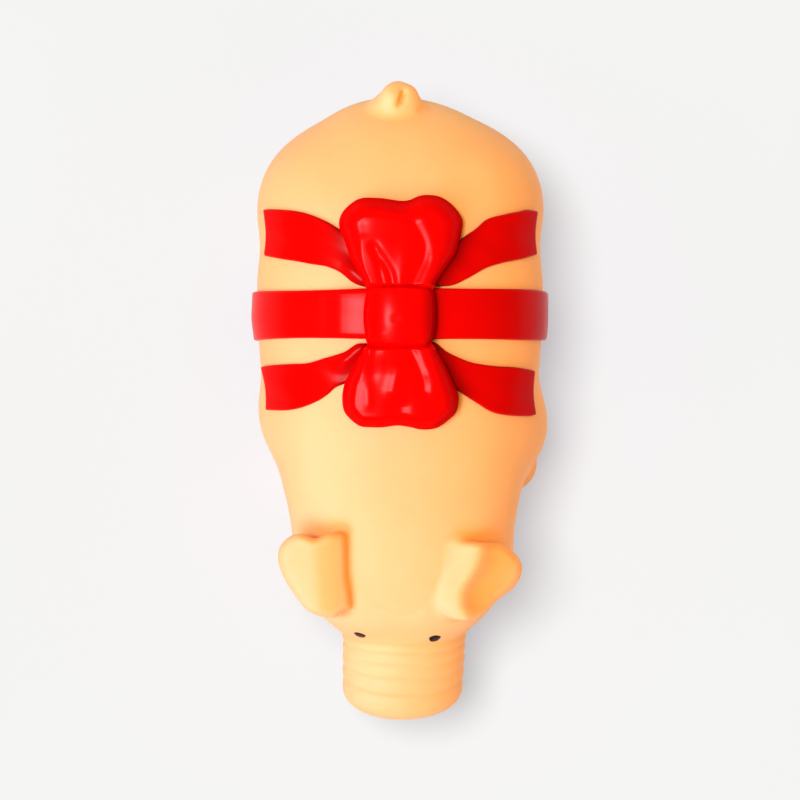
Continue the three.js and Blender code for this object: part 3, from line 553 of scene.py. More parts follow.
def skin_top(x, y):
    """Height of the skin's upper side, refined from the table by one Newton step."""
    x, y = np.asarray(x, float), np.asarray(y, float)
    fx, fy = np.clip((x - TOP_X[0]), 0, len(TOP_X) - 1.001), np.clip((y - TOP_Y[0]), 0, len(TOP_Y) - 1.001)
    i, j = fx.astype(int), fy.astype(int)
    u, v = fx - i, fy - j
    z = TOP[i, j] * (1 - u) * (1 - v) + TOP[i + 1, j] * u * (1 - v) + TOP[i, j + 1] * (1 - u) * v + TOP[i + 1, j + 1] * u * v
    shape = z.shape
    x, y, z = x.ravel(), y.ravel(), z.ravel()
    for _ in range(3):
        d = torso(x, y, z)
        s = (torso(x, y, z + 0.2) - torso(x, y, z - 0.2)) / 0.4
        z = z - np.clip(d / np.maximum(s, 0.12), -1.5, 1.5)
    return z.reshape(shape)


def torso_normal(p):
    g = gradient(torso, p, 0.25)
    return g / np.linalg.norm(g, axis=1, keepdims=True)


# ------------------------------------------------------------------ skin
def build_skin():
    low, high = np.array([-54.4, -113.6, -1.6]), np.array([54.4, 113.6, 92.8])
    p, quads = surface_net(skin, low, high, CELL)
    p = relaxed(skin, p, quads, 2)
    inner = evaluate(torso, p) < -1.2
    r = np.hypot(p[:, 0] - PLUG["x"], p[:, 1] - PLUG["y"])
    inner &= (r > PLUG["hole"] + 1.0) | (p[:, 2] > 16)
    obj = mesh_object("body_skin_latex", p, quads)
    group = obj.vertex_groups.new(name="inside")
    group.add([int(i) for i in np.nonzero(inner)[0]], 1.0, "REPLACE")
    quad_inner = inner[quads].all(1).mean()
    dec = obj.modifiers.new("thin", "DECIMATE")
    dec.vertex_group = "inside"
    dec.vertex_group_factor = 1.0
    dec.ratio = 1 - quad_inner * 0.93
    bake(obj)
    obj.vertex_groups.clear()
    p = points_of(obj)
    n = gradient(skin, p)
    n /= np.maximum(1e-6, np.linalg.norm(n, axis=1, keepdims=True))
    # painted shade in creases and hollows: how closed in each point is, from the field a little way out
    hidden = np.zeros(len(p))
    for h, w in ((1.2, 0.3), (2.5, 0.3), (5.0, 0.25), (9.0, 0.15)):
        hidden += w * np.clip((h - evaluate(outer, p + n * h)) / h, 0, 1)
    # painted shade in the dish of the pig's left ear, which faces away from the light
    q = p[:, 0] - np.interp(p[:, 1], RIDGE_LEFT[:, 0], RIDGE_LEFT[:, 1])
    dish = (p[:, 0] > 14) & (p[:, 1] < -47) & (p[:, 1] > -74.5) & (p[:, 2] > ear_top(p[:, 0], p[:, 1], 1) - 2.0)
    hidden = hidden + dish * (0.20 * step01(q / 4) + 0.16 * np.exp(-(((q - 5) / 4.5) ** 2)) * (q > 0)) * step01((p[:, 1] + 74.5) / 4)
    edges = np.empty(len(obj.data.edges) * 2, np.int32)
    obj.data.edges.foreach_get("vertices", edges)
    edges = edges.reshape(-1, 2)
    edges = np.vstack([edges, edges[:, ::-1]])
    count = np.maximum(1, np.bincount(edges[:, 0], minlength=len(p)))
    for k in range(4):
        mean = np.bincount(edges[:, 0], weights=hidden[edges[:, 1]], minlength=len(p)) / count
        hidden = np.clip(hidden, mean - 0.04, mean + 0.04) if k < 2 else 0.5 * hidden + 0.5 * mean
    a = obj.data.attributes.new("hidden", "FLOAT", "POINT")
    a.data.foreach_set("value", hidden.astype(np.float32))
    return obj


def bake(obj):
    """Applies an object's modifiers."""
    dg = bpy.context.evaluated_depsgraph_get()
    mesh = bpy.data.meshes.new_from_object(obj.evaluated_get(dg), preserve_all_data_layers=True, depsgraph=dg)
    old = obj.data
    obj.modifiers.clear()
    obj.data = mesh
    mesh.name = obj.name
    bpy.data.meshes.remove(old)
    mesh.polygons.foreach_set("use_smooth", np.ones(len(mesh.polygons), bool))


body_skin = build_skin()


# ------------------------------------------------------------------ the raised ribbon and bow
OUTLINES = {
    "loop_rear": [[-20.4, 57.8], [-20.4, 61.1], [-18.8, 64.1], [-15.4, 67.0], [-12.4, 68.1], [-8.4, 68.1], [-4.7, 67.8], [-0.1, 67.1], [3.0, 67.3], [6.4, 68.7], [9.4, 69.1], [13.4, 68.5], [17.1, 66.2], [19.8, 63.1], [21.2, 60.1], [20.7, 56.0], [19.8, 52.4], [18.8, 49.1], [16.1, 45.1], [13.2, 40.8], [11.3, 37.4], [9.6, 34.4], [5.0, 33.2], [0.0, 33.0], [-5.0, 33.2], [-9.4, 34.2], [-11.2, 37.0], [-12.8, 40.2], [-14.8, 44.1], [-16.8, 47.8], [-19.1, 54.0]],
    "loop_front": [[-19.1, 4.0], [-19.5, 0.3], [-18.9, -3.6], [-16.9, -6.3], [-13.5, -8.8], [-9.9, -9.2], [-5.9, -9.2], [-1.0, -8.6], [3.0, -9.1], [6.6, -9.9], [9.9, -9.9], [12.8, -9.2], [16.1, -6.9], [18.8, -4.3], [19.8, -0.7], [19.4, 2.6], [17.5, 6.9], [15.2, 11.9], [12.8, 16.1], [11.0, 18.6], [9.2, 21.0], [4.6, 22.2], [0.0, 22.4], [-4.6, 22.2], [-9.2, 21.0], [-11.6, 18.0], [-14.7, 13.5], [-16.8, 9.2], [-18.1, 7.2]],
    "knot": [[-9.7, 38.5], [-11.0, 37.2], [-11.9, 34.8], [-12.5, 31.5], [-12.7, 28.1], [-12.5, 24.8], [-11.9, 21.4], [-11.0, 19.1], [-9.4, 17.7], [-5.4, 17.3], [0.0, 17.1], [5.4, 17.3], [9.4, 17.8], [11.0, 19.8], [12.0, 22.4], [12.5, 26.1], [12.6, 30.1], [12.3, 34.1], [11.5, 36.8], [10.0, 38.3], [5.4, 38.8], [0.0, 39.0], [-5.4, 38.8]],
}
PX = 0.3348          # millimetres to a pixel of the photo at the height of the bow


def px(*points, k=PX):
    """Photo pixels to drawing millimetres."""
    return [((a - 400) * k, (400 - b) * k) for a, b in points]


# folds of the bow: line, depth (negative is a ridge), half-width, fade at the start, fade at the end
FOLDS = {
    "loop_rear": [
        (px((371, 238), (375, 249), (383, 261), (390, 274), (393, 288)), 0.62, 1.6, 0.22, 0.0),
        (px((374, 250), (379, 268), (384, 288)), 0.30, 1.0, 0.30, 0.0),
        (px((362, 218), (362, 230), (363, 240)), 0.12, 2.1, 0.35, 0.35),
        (px((406, 211), (414, 224), (423, 243), (423, 258), (417, 272), (410, 286)), 0.64, 2.2, 0.12, 0.0),
        (px((399, 196), (399, 204), (399, 212)), 0.35, 6.0, 0.0, 0.7),
        (px((436, 240), (434, 262), (425, 286)), -0.30, 2.4, 0.4, 0.0),
        (px((402, 240), (404, 262), (402, 286)), -0.30, 2.6, 0.5, 0.0),
    ],
    "loop_front": [
        (px((377, 343), (374, 360), (373, 378), (374, 392)), 0.30, 1.9, 0.0, 0.5),
        (px((407, 343), (415, 362), (421, 377), (423, 390), (419, 401)), 0.80, 2.2, 0.15, 0.2),
        (px((400, 350), (398, 371), (396, 381), (394, 390), (389, 401)), -0.66, 2.7, 0.36, 0.22),
        (px((399, 396), (400, 420)), 0.75, 3.2, 0.5, 0.0),
        (px((367, 378), (368, 396), (368, 414)), -0.22, 1.7, 0.4, 0.3),
    ],
    "knot": [
        (px((396, 312), (396, 326)), 0.12, 1.9, 0.4, 0.4),
        (px((380, 330), (379, 342)), -0.10, 1.8, 0.4, 0.3),
        (px((397, 284), (396, 296)), 0.20, 1.1, 0.0, 0.6),
        (px((412, 284), (414, 300), (414, 316)), 0.18, 1.7, 0.0, 0.5),
        (px((406, 350), (409, 338)), 0.25, 1.2, 0.0, 0.6),
    ],
}


def polar(line, n_theta, rhos, centre=None):
    """Points on rays from the centre of an outline: index [ray, rho]."""
    line = smooth_closed(line, 12)
    c = np.array(centre) if centre is not None else line.mean(0)
    ang = np.arctan2(line[:, 1] - c[1], line[:, 0] - c[0])
    rad = np.hypot(line[:, 0] - c[0], line[:, 1] - c[1])
    order = np.argsort(ang)
    ang, rad = ang[order], rad[order]
    th = -math.pi + 2 * math.pi * (np.arange(n_theta) + 0.5) / n_theta
    r = np.interp(th, np.concatenate([ang - 2 * math.pi, ang, ang + 2 * math.pi]), np.tile(rad, 3))
    x = c[0] + (r * np.cos(th))[:, None] * rhos[None]
    y = c[1] + (r * np.sin(th))[:, None] * rhos[None]
    return x, y, line


def nearest(x, y, line):
    q = np.stack([x.ravel(), y.ravel()], 1)
    best = np.full(len(q), 1e18)
    for i in range(0, len(line), 64):
        seg = line[i:i + 64]
        best = np.minimum(best, ((q[:, None, :] - seg[None]) ** 2).sum(2).min(1))
    return np.sqrt(best).reshape(x.shape)


def outline_dist(x, y, line, keep):
    """Distance to the segments of a closed outline whose ends are both kept."""
    d = np.full(np.shape(x), 1e18)
    for i in range(len(line)):
        if not (keep[i - 1] and keep[i]):
            continue
        a, b = line[i - 1], line[i]
        ex, ey = b - a
        wx, wy = x - a[0], y - a[1]
        t = np.clip((wx * ex + wy * ey) / (ex * ex + ey * ey), 0, 1)
        d = np.minimum(d, (wx - ex * t) ** 2 + (wy - ey * t) ** 2)
    return np.sqrt(d)


def fold_depth(x, y, folds):
    out = np.zeros_like(x)
    for line, depth, width, f0, f1 in folds:
        d, along = line_dist(x, y, smooth_open(line, 24))
        w = (step01(along / f0) if f0 > 0 else 1) * (step01((1 - along) / f1) if f1 > 0 else 1)
        out += depth * w * np.exp(-((d / width) ** 2))
    return out


def pad_object(name, key, height, edge, open_side=None, n_theta=300, n_rho=72):
    """A raised pad over an outline: a rounded edge, and folds pressed into its top. open_side: the end tucked under the knot."""
    s = np.linspace(0, 1, n_rho)
    rhos = 1 - (1 - s) ** 1.7          # closer rings near the rim
    rhos[0] = 0.012
    x, y, line = polar(OUTLINES[key], n_theta, rhos)
    sign, y0 = open_side or (1, -1e9)
    d = outline_dist(x, y, line, sign * (line[:, 1] - y0) > 0)
    d[:, -1] = np.maximum(0, d[:, -1] - 0.01)
    t = np.clip(d / (edge(x, y) if callable(edge) else edge), 0, 1)
    rim = np.sqrt(np.maximum(0, 1 - (1 - t) ** 2))
    folds = fold_depth(x, y, FOLDS[key])
    h = height(x, y) * rim - folds * step01(d / 3.2)
    base = skin_top(x, y)
    top = np.stack([x, y, base + np.maximum(h, 0)], -1)
    # the edge goes down into the skin
    c = top[:, :1].mean(0)[0]
    skirt = top[:, -1].copy()
    skirt[:, 2] = base[:, -1] - 0.5
    n, m = n_theta, n_rho
    pts = np.concatenate([top.reshape(-1, 3), skirt, [[c[0], c[1], top[:, 0, 2].mean()]], [[c[0], c[1], base[:, 0].mean() - 0.5]]])
    faces = [grid_faces(n, m, wrap_rows=True)]
    i = np.arange(n)
    j = (i + 1) % n
    faces.append(np.stack([i * m + m - 1, n * m + i, n * m + j, j * m + m - 1], 1))
    faces.append(np.stack([i * m, j * m, np.full(n, n * m + n)], 1)[:, ::-1])
    faces.append(np.stack([n * m + i, n * m + j, np.full(n, n * m + n + 1)], 1)[:, ::-1])
    faces = outward(pts, faces)
    # painted shade: darker in the folds, along the rim on the side away from the light, over the far side of the knot,
    # beside the knot and on the skirt
    shade = np.clip(0.10 * np.maximum(0, folds), 0, 0.3) + np.where(x > 0, 0.30, 0.05) * np.exp(-((d / 0.9) ** 2)) * (h < 4)
    if key == "knot":
        shade = shade + 0.42 * step01((x - 6.6) / 5.2)
    if key != "knot":
        shade = shade + 0.08 * np.exp(-((nearest(x, y, KNOT_LINE) / 0.9) ** 2))
    shade = np.concatenate([shade.ravel(), np.full(n, 0.45), [0, 1]])
    return mesh_object(name, pts, faces, {"hidden": np.clip(shade, 0, 1)})


def loop_height(rear):
    def f(x, y):
        away = (y - 37.7) / 31 if rear else (17.2 - y) / 27      # 0 at the knot, 1 at the far end
        tucked = step01((38.9 - y) / 3.2) if rear else step01((y - 16.6) / 3.2)      # under the end of the knot
        if rear:
            full = 8.0 + 0.8 * step01(away / 0.50) - 0.4 * step01((away - 0.75) / 0.25)
        else:
            full = 7.6 + 1.2 * step01(away / 0.35) + 0.125 * np.logaddexp(0, (9 - y) / 2.5)
        return full * (1 - 0.55 * tucked)
    return f


def eased(t, ts, vs):
    """A table read with its corners smoothed."""
    return sum(np.interp(t + o, ts, vs) for o in (-0.09, -0.06, -0.03, 0, 0.03, 0.06, 0.09)) / 7


def loop_edge(rear):
    """How far the rounding of the rim reaches in: little at the gathered neck, a lot on the full lobes."""
    def f(x, y):
        side = 1.12 + 0.12 * np.tanh(x / 5)
        if rear:
            return side * eased((y - 37.7) / 31, [0, 0.21, 0.35, 0.49, 0.60, 0.70, 1], [2.7, 2.7, 4.4, 6.1, 6.9, 7.6, 7.2])
        return side * eased((17.2 - y) / 27, [0, 0.2, 0.45, 0.64, 0.80, 0.92, 1], [2.7, 3.4, 4.9, 5.0, 3.9, 3.5, 3.5])
    return f


def knot_height(x, y):
    """The strip wound round the middle: rounded across, its two cut edges nearly straight."""
    across = np.clip(np.abs(x + 0.1) / 12.9, 0, 1)
    return 1.0 + 8.5 * (1 - across**2.15) ** (1 / 2.15) + 0.9 * (1 - ((y - 27.4) / 10.5) ** 2)


KNOT_LINE = smooth_closed(OUTLINES["knot"], 12)
LOOP_LINES = np.vstack([smooth_closed(OUTLINES[k], 12) for k in ("loop_rear", "loop_front")])
bow_loop_rear = pad_object("bow_loop_rear_red", "loop_rear", loop_height(True), loop_edge(True), (1, 38.8))
bow_loop_front = pad_object("bow_loop_front_red", "loop_front", loop_height(False), loop_edge(False), (-1, 16.4))
bow_knot = pad_object("bow_knot_red", "knot", knot_height, 2.0)


def band_object():
    """The ribbon band: one rounded cross-section carried round the barrel."""
    n = 420
    th = 2 * math.pi * np.arange(n) / n
    rear, front, thick, r = 37.4, 20.6, 1.75, 0.75
    # cross-section as (y, height over the skin)
    arc = np.linspace(0, math.pi / 2, 6)
    sec = [(rear, -0.5), (rear, 0.3), (rear, thick - r)] + [(rear - r + r * math.cos(a), thick - r + r * math.sin(a)) for a in arc[1:]]
    sec += [(y, thick) for y in np.linspace(rear - r, front + r, 14)[1:-1]]
    sec += [(front + r - r * math.sin(a), thick - r + r * math.cos(a)) for a in arc[:-1]] + [(front, thick - r), (front, 0.3), (front, -0.5)]
    sec = np.array(sec)
    m = len(sec)
    T, Y = np.meshgrid(th, sec[:, 0], indexing="ij")
    wob = 0.28 * np.sin(2 * T + 0.6) + 0.18 * np.sin(5 * T + 2.1)     # a hand-cut edge is never dead straight
    Y = Y + wob * np.where(Y > 29, 1, -0.8) * (np.abs(Y - 29) / 8.4)
    dx, dz = np.sin(T), np.cos(T)
    lo, hi = np.full(T.shape, 20.0), np.full(T.shape, 75.0)
    for _ in range(22):
        mid = (lo + hi) / 2
        inside = torso((mid * dx).ravel(), Y.ravel(), (48 + mid * dz).ravel()).reshape(T.shape) < 0
        lo, hi = np.where(inside, mid, lo), np.where(inside, hi, mid)
    rad = (lo + hi) / 2
    p = np.stack([rad * dx, Y, 48 + rad * dz], -1)
    nrm = torso_normal(p.reshape(-1, 3)).reshape(p.shape)
    nrm[..., 1] = 0
    nrm /= np.linalg.norm(nrm, axis=-1, keepdims=True)
    across = (Y - 29) / 8.4
    crown = np.where(sec[None, :, 1] > thick - 0.01, 0.22 * (1 - across**2) + 0.08 * np.sin(3 * T + 4 * across), 0)
    # the band climbs a little where it runs in under the knot
    x = p[..., 0]
    climb = (0.65 * step01((x + 25) / 6.5) + 0.05 * np.clip(x + 18.5, 0, 10)) * step01((-2 - x) / 6) * (p[..., 2] > 60)
    p = p + nrm * (sec[None, :, 1] + crown + climb * np.clip(sec[None, :, 1] / thick, 0, 1))[..., None]
    pts = p.reshape(-1, 3)
    faces = outward(pts, [grid_faces(n, m, wrap_rows=True, wrap_cols=True)])
    # painted shade beside the knot, heavier on the side away from the light, and on the low walls of the band
    by_knot = np.where(p[..., 2] > 60, nearest(p[..., 0], p[..., 1], KNOT_LINE), 99)
    shade = np.where(p[..., 0] > 0, 0.3, 0.1) * np.exp(-((by_knot / 1.4) ** 1.6)) + 0.6 * (sec[None, :, 1] < 0.5)
    return mesh_object("ribbon_band_red", pts, faces, {"hidden": np.clip(shade, 0, 1).ravel()})


ribbon_band = band_object()

STRIPS = {
    "ribbon_tail_rear_right": ([[-45.8, 65.3], [-42.2, 65.0], [-34.9, 64.0], [-29.7, 62.5], [-24.3, 60.0], [-20.5, 57.6], [-16.1, 54.5], [-11.2, 49.4]], [[-45.4, 49.2], [-39.7, 47.8], [-35.3, 47.0], [-30.0, 45.9], [-25.3, 45.1], [-21.4, 43.7], [-18.8, 42.0], [-15.8, 39.5], [-12.2, 38.1], [-9.2, 37.9]]),
    "ribbon_tail_rear_left": ([[46.2, 64.8], [42.9, 64.9], [40.8, 64.3], [35.6, 63.0], [29.4, 61.1], [25.3, 57.6], [20.9, 54.5], [15.2, 49.4], [11.2, 46.8]], [[45.8, 49.6], [40.8, 47.9], [34.1, 46.3], [28.7, 44.5], [24.7, 42.2], [21.7, 40.5], [17.5, 38.6], [13.2, 38.2], [9.2, 38.1]]),
    "ribbon_tail_front_right": ([[-46.6, 11.6], [-43.3, 11.9], [-37.6, 12.2], [-31.0, 12.5], [-25.3, 14.1], [-18.8, 16.1], [-14.5, 18.8], [-11.2, 19.1]], [[-44.9, -3.4], [-38.0, -3.4], [-32.8, -2.4], [-27.5, -0.2], [-24.2, 2.0], [-21.7, 4.2], [-17.8, 5.9], [-12.5, 8.6]]),
    "ribbon_tail_front_left": ([[45.1, 10.2], [38.5, 11.2], [32.1, 11.5], [24.7, 12.5], [19.8, 14.2], [15.2, 16.5], [11.7, 19.3], [7.9, 19.6]], [[45.6, -5.1], [43.0, -5.5], [35.6, -5.1], [30.6, -3.9], [25.5, -0.8], [21.4, 1.8], [17.1, 4.6], [11.9, 7.9]]),
}
# rises and hollows in the ribbon ends: line, height (positive is raised), half-width, fades
RISES = {
    "ribbon_tail_rear_right": [(px((342, 262), (354, 272), (366, 284)), 0.45, 2.4, 0.5, 0.0)],
    "ribbon_tail_rear_left": [(px((452, 268), (444, 276), (436, 286)), 0.40, 2.2, 0.5, 0.0)],
    "ribbon_tail_front_right": [(px((330, 372), (344, 362), (358, 351), (364, 346)), 0.6, 1.8, 0.5, 0.0)],
    "ribbon_tail_front_left": [(px((456, 366), (446, 358), (436, 350)), 0.45, 2.2, 0.5, 0.0)],
}


def strip_object(name, a, b, n=110, m=44):
    A, B = smooth_open(a, n), smooth_open(b, n)
    thick, r = 1.75, 0.75
    v = np.linspace(0, 1, m)
    P = A[:, None] * (1 - v)[None, :, None] + B[:, None] * v[None, :, None]
    u = np.linspace(0, 1, n)
    # the outer end is cut a little hollow
    bite = 0.55 * np.sin(math.pi * v)[None] * np.exp(-((u / 0.06) ** 2))[:, None]
    P[..., 0] -= np.sign(A[0, 0]) * bite * 1.4
    x, y = P[..., 0], P[..., 1]
    z = skin_top(x, y)
    base = np.stack([x, y, z], -1)
    nrm = torso_normal(base.reshape(-1, 3)).reshape(base.shape)
    line3 = np.vstack([base[:, 0], base[-1], base[::-1, -1], base[0, ::-1]])
    q = base.reshape(-1, 3)
    d = np.full(len(q), 1e18)
    for i in range(0, len(line3), 64):
        d = np.minimum(d, ((q[:, None] - line3[None, i:i + 64]) ** 2).sum(2).min(1))
    d = np.sqrt(d).reshape(x.shape)
    t = np.clip(d / r, 0, 1)
    h = thick - r + r * np.sqrt(np.maximum(0, 1 - (1 - t) ** 2))
    lift = np.zeros_like(x)
    for pts, height, width, f0, f1 in RISES[name]:
        dist, along = line_dist(x, y, smooth_open(pts, 16))
        w = (step01(along / f0) if f0 > 0 else 1) * (step01((1 - along) / f1) if f1 > 0 else 1)
        lift += height * w * np.exp(-((dist / width) ** 2))
    h = h + lift * step01(d / 1.6) + 0.12 * np.sin(0.35 * x + 0.6 * y) * step01(d / 3)
    top = base + nrm * h[..., None]
    low = base - nrm * 0.5
    pts = np.concatenate([top.reshape(-1, 3), low.reshape(-1, 3)])
    k = n * m
    f = grid_faces(n, m)
    edge = np.concatenate([np.arange(0, m), np.arange(1, n) * m + m - 1, (n - 1) * m + np.arange(m - 2, -1, -1), np.arange(n - 2, 0, -1) * m])
    e2 = np.roll(edge, -1)
    faces = [f, f[:, ::-1] + k, np.stack([edge, edge + k, e2 + k, e2], 1)]
    # the side wall must face the same way as the top
    faces = outward(pts, faces)
    # painted shadow of the loops on the ribbon ends, heavier on the side away from the light, and painted shade along
    # their edges and underside
    by_loop = nearest(x, y, LOOP_LINES)
    shade = 0.85 * np.exp(-((by_loop / 3.4) ** 1.5)) * (1.0 if A[0, 0] > 0 else 0.7) + 0.16 * np.exp(-((d / 0.6) ** 2))
    return mesh_object(name + "_red", pts, faces, {"hidden": np.clip(np.concatenate([shade.ravel(), np.ones(k)]), 0, 1)})


def consistent(obj):
    import bmesh
    bm = bmesh.new()
    bm.from_mesh(obj.data)
    bmesh.ops.recalc_face_normals(bm, faces=bm.faces)
    bm.to_mesh(obj.data)
    bm.free()


ribbon_tails = {name: strip_object(name, *ab) for name, ab in STRIPS.items()}
for o in [bow_loop_rear, bow_loop_front, bow_knot, ribbon_band, *ribbon_tails.values()]:
    consistent(o)


# ------------------------------------------------------------------ eyes: thick oval dots of paint
def eye_object(name, x, y, roll):
    z = float(skin_top(np.array([x]), np.array([y]))[0])
    c = np.array([[x, y, z]])
    nrm = torso_normal(c)[0]
    side = np.array([1.0, 0, 0]) - nrm * nrm[0]
    side /= np.linalg.norm(side)
    up = np.cross(nrm, side)
    n, m = 64, 14
    th = 2 * math.pi * np.arange(n) / n
    rho = np.sin(np.linspace(0.03, 1, m) * math.pi / 2)
    R = 1 + 0.03 * np.sin(3 * th + 1) + 0.02 * np.sin(5 * th)
    a = 2.12 * (R * np.cos(th))[:, None] * rho[None]
    b = 1.55 * (R * np.sin(th))[:, None] * rho[None]
    ar, br = a * math.cos(roll) - b * math.sin(roll), a * math.sin(roll) + b * math.cos(roll)
    p = c[0] + ar[..., None] * side + br[..., None] * up
    p = project(torso, p.reshape(-1, 3), 3).reshape(n, m, 3)
    nn = torso_normal(p.reshape(-1, 3)).reshape(p.shape)
    h = 0.42 * np.sqrt(np.maximum(0, 1 - rho**2)) ** 0.8
    top = p + nn * h[None, :, None]
    rim = p[:, -1] - nn[:, -1] * 0.3
    pts = np.concatenate([top.reshape(-1, 3), rim, [top[:, 0].mean(0)], [rim.mean(0)]])
    i = np.arange(n)
    j = (i + 1) % n
    faces = [grid_faces(n, m, wrap_rows=True), np.stack([i * m + m - 1, n * m + i, n * m + j, j * m + m - 1], 1),
             np.stack([i * m, j * m, np.full(n, n * m + n)], 1)[:, ::-1], np.stack([n * m + i, n * m + j, np.full(n, n * m + n + 1)], 1)]
    obj = mesh_object(name, pts, faces)
    consistent(obj)
    return obj


eye_left = eye_object("eye_left_dot", 11.95, -82.0, -0.18)
eye_right = eye_object("eye_right_dot", -13.85, -80.9, 0.24)


# ------------------------------------------------------------------ loose fibre wad
def wad_object():
    n, m = 120, 90
    u = np.arange(n) * 2 * math.pi / n
    v = (np.arange(m) + 0.5) / m * math.pi
    U, V = np.meshgrid(u, v, indexing="ij")
    d = np.stack([np.sin(V) * np.cos(U), np.cos(V), np.sin(V) * np.sin(U)], -1).reshape(-1, 3)
    c = np.array([0, 22.0, 52.0])
    lo, hi = np.full(len(d), 3.0), np.full(len(d), 110.0)
    for _ in range(24):
        mid = (lo + hi) / 2
        q = c + d * mid[:, None]
        f = np.maximum(torso(q[:, 0], q[:, 1], q[:, 2]) + WALL + 8, 31.0 - q[:, 2])
        lo, hi = np.where(f < 0, mid, lo), np.where(f < 0, hi, mid)
    r = (lo + hi) / 2
    q = d * r[:, None]
    lump = np.zeros(len(d))
    rng = np.random.default_rng(7)
    for k in range(26):
        w = rng.normal(size=3)
        w /= np.linalg.norm(w)
        f = 0.06 + 0.16 * rng.random()
        lump += np.sin(f * 2 * (q @ w) + rng.random() * 6.28) / (1 + f * 9)
    r = r * 0.965 + np.clip(lump * 0.55, -3.5, 1.6)
    p = c + d * r[:, None]
    p[:, 2] = np.maximum(p[:, 2], 29.2)
    pts = np.concatenate([p, [p.reshape(n, m, 3)[:, 0].mean(0)], [p.reshape(n, m, 3)[:, -1].mean(0)]])
    i = np.arange(n)
    j = (i + 1) % n
    faces = [grid_faces(n, m, wrap_rows=True), np.stack([i * m, j * m, np.full(n, n * m)], 1), np.stack([i * m + m - 1, j * m + m - 1, np.full(n, n * m + 1)], 1)]
    obj = mesh_object("fibre_filling_wad", pts, faces)
    consistent(obj)
    return obj


fibre = wad_object()


# ------------------------------------------------------------------ the grunter plug
def lathe_object(name, profile, n=128, x=0.0, y=-2.0):
    prof = np.array(profile, float)
    th = 2 * math.pi * np.arange(n) / n
    pts = np.stack([x + prof[None, :, 0] * np.cos(th)[:, None], y + prof[None, :, 0] * np.sin(th)[:, None], np.repeat(prof[None, :, 1], n, 0)], -1).reshape(-1, 3)
    faces = outward(pts, [grid_faces(n, len(prof), wrap_rows=True, wrap_cols=True)])
    obj = mesh_object(name, pts, faces)
    consistent(obj)
    return obj


def fillet(points, r=0.3, steps=4):
    """Rounds the corners of a closed profile."""
    p = np.array(points, float)
    out = []
    for i in range(len(p)):
        a, b, c = p[i - 1], p[i], p[(i + 1) % len(p)]
        u, w = a - b, c - b
        lu, lw = np.linalg.norm(u), np.linalg.norm(w)
        k = min(r, lu * 0.45, lw * 0.45)
        s, e = b + u / lu * k, b + w / lw * k
        for t in np.linspace(0, 1, steps):
            out.append((1 - t) ** 2 * s + 2 * t * (1 - t) * b + t * t * e)
    return out


housing = lathe_object("grunter_housing_plug", fillet([(8.8, 6.4), (13.2, 6.4), (13.2, 8.3), (10.7, 8.3), (10.7, 14.0), (12.4, 14.0), (12.1, 15.6), (10.7, 15.6), (10.7, 25), (8.8, 25)], 0.35))


def plate_object(name, loops, depth, z0, bevel=0.15, x=0.0, y=-2.0, upright=False):
    """A flat moulding with holes, cut from closed plan lines and given a small bevel."""
    curve = bpy.data.curves.new(name, "CURVE")
    curve.dimensions = "2D"
    curve.fill_mode = "BOTH"
    for line in loops:
        line = np.asarray(line, float)
        s = curve.splines.new("POLY")
        s.points.add(len(line) - 1)
        for k, (u, w) in enumerate(line):
            s.points[k].co = (u, w, 0, 1)
        s.use_cyclic_u = True
    curve.extrude = depth / 2 - bevel
    curve.bevel_depth = bevel
    curve.bevel_resolution = 2
    curve.offset = -bevel
    tmp = bpy.data.objects.new(name + "_line", curve)
    bpy.context.scene.collection.objects.link(tmp)
    dg = bpy.context.evaluated_depsgraph_get()
    mesh = bpy.data.meshes.new_from_object(tmp.evaluated_get(dg), depsgraph=dg)
    bpy.data.objects.remove(tmp)
    co = np.array([v.co for v in mesh.vertices], float)
    co = co + [x, y, z0 + depth / 2]
    mesh.vertices.foreach_set("co", ((co + SHIFT) * 0.001).astype(np.float32).ravel())
    mesh.name = name
    obj = bpy.data.objects.new(name, mesh)
    bpy.context.scene.collection.objects.link(obj)
    weld = obj.modifiers.new("weld", "WELD")
    weld.merge_threshold = 2e-6
    bake(obj)
    mesh = obj.data
    mesh.polygons.foreach_set("use_smooth", np.zeros(len(mesh.polygons), bool))
    consistent(obj)
    return obj


def circle(r, n, cx=0.0, cy=0.0, reverse=False):
    a = 2 * math.pi * np.arange(n) / n
    if reverse:
        a = a[::-1]
    return np.stack([cx + r * np.cos(a), cy + r * np.sin(a)], 1)


grille = plate_object("grunter_grille_cap", [circle(8.5, 96)] + [circle(1.15, 28, (4.9 if i else 0) * math.cos(i * math.pi / 3), (4.9 if i else 0) * math.sin(i * math.pi / 3), True) for i in range(7)], 1.7, 7.0)
_arc = math.pi + math.pi * np.linspace(0, 1, 49)
seat = plate_object("grunter_reed_trough", [np.vstack([np.stack([8.5 * np.cos(_arc), 8.5 * np.sin(_arc)], 1), [[2.2, 0], [2.2, -4.0], [1.6, -4.6], [-1.6, -4.6], [-2.2, -4.0], [-2.2, 0]]])], 13.6, 9.0, 0.2)
pad = plate_object("grunter_reed_pad", [[(-3.6, -1.0), (3.6, -1.0), (3.6, 0.9), (-3.6, 0.9)]], 3.6, 19.0, 0.15)
reed = plate_object("grunter_reed_tongue", [[(-3.0, 1.2), (3.0, 1.2), (3.0, 1.7), (-3.0, 1.7)]], 12.0, 10.2, 0.06)
clamp = plate_object("grunter_reed_wedge", [[(-3.6, 2.0), (3.6, 2.0), (3.6, 5.6), (3.0, 6.2), (-3.0, 6.2), (-3.6, 5.6)]], 3.4, 19.1, 0.25)


# ------------------------------------------------------------------ materials
def material(name):
    m = bpy.data.materials.new(name)
    m.use_nodes = True
    nt = m.node_tree
    nt.nodes.clear()
    out = nt.nodes.new("ShaderNodeOutputMaterial")
    bsdf = nt.nodes.new("ShaderNodeBsdfPrincipled")
    nt.links.new(bsdf.outputs[0], out.inputs[0])
    return m, nt, bsdf


def link(nt, a, b):
    nt.links.new(a, b)


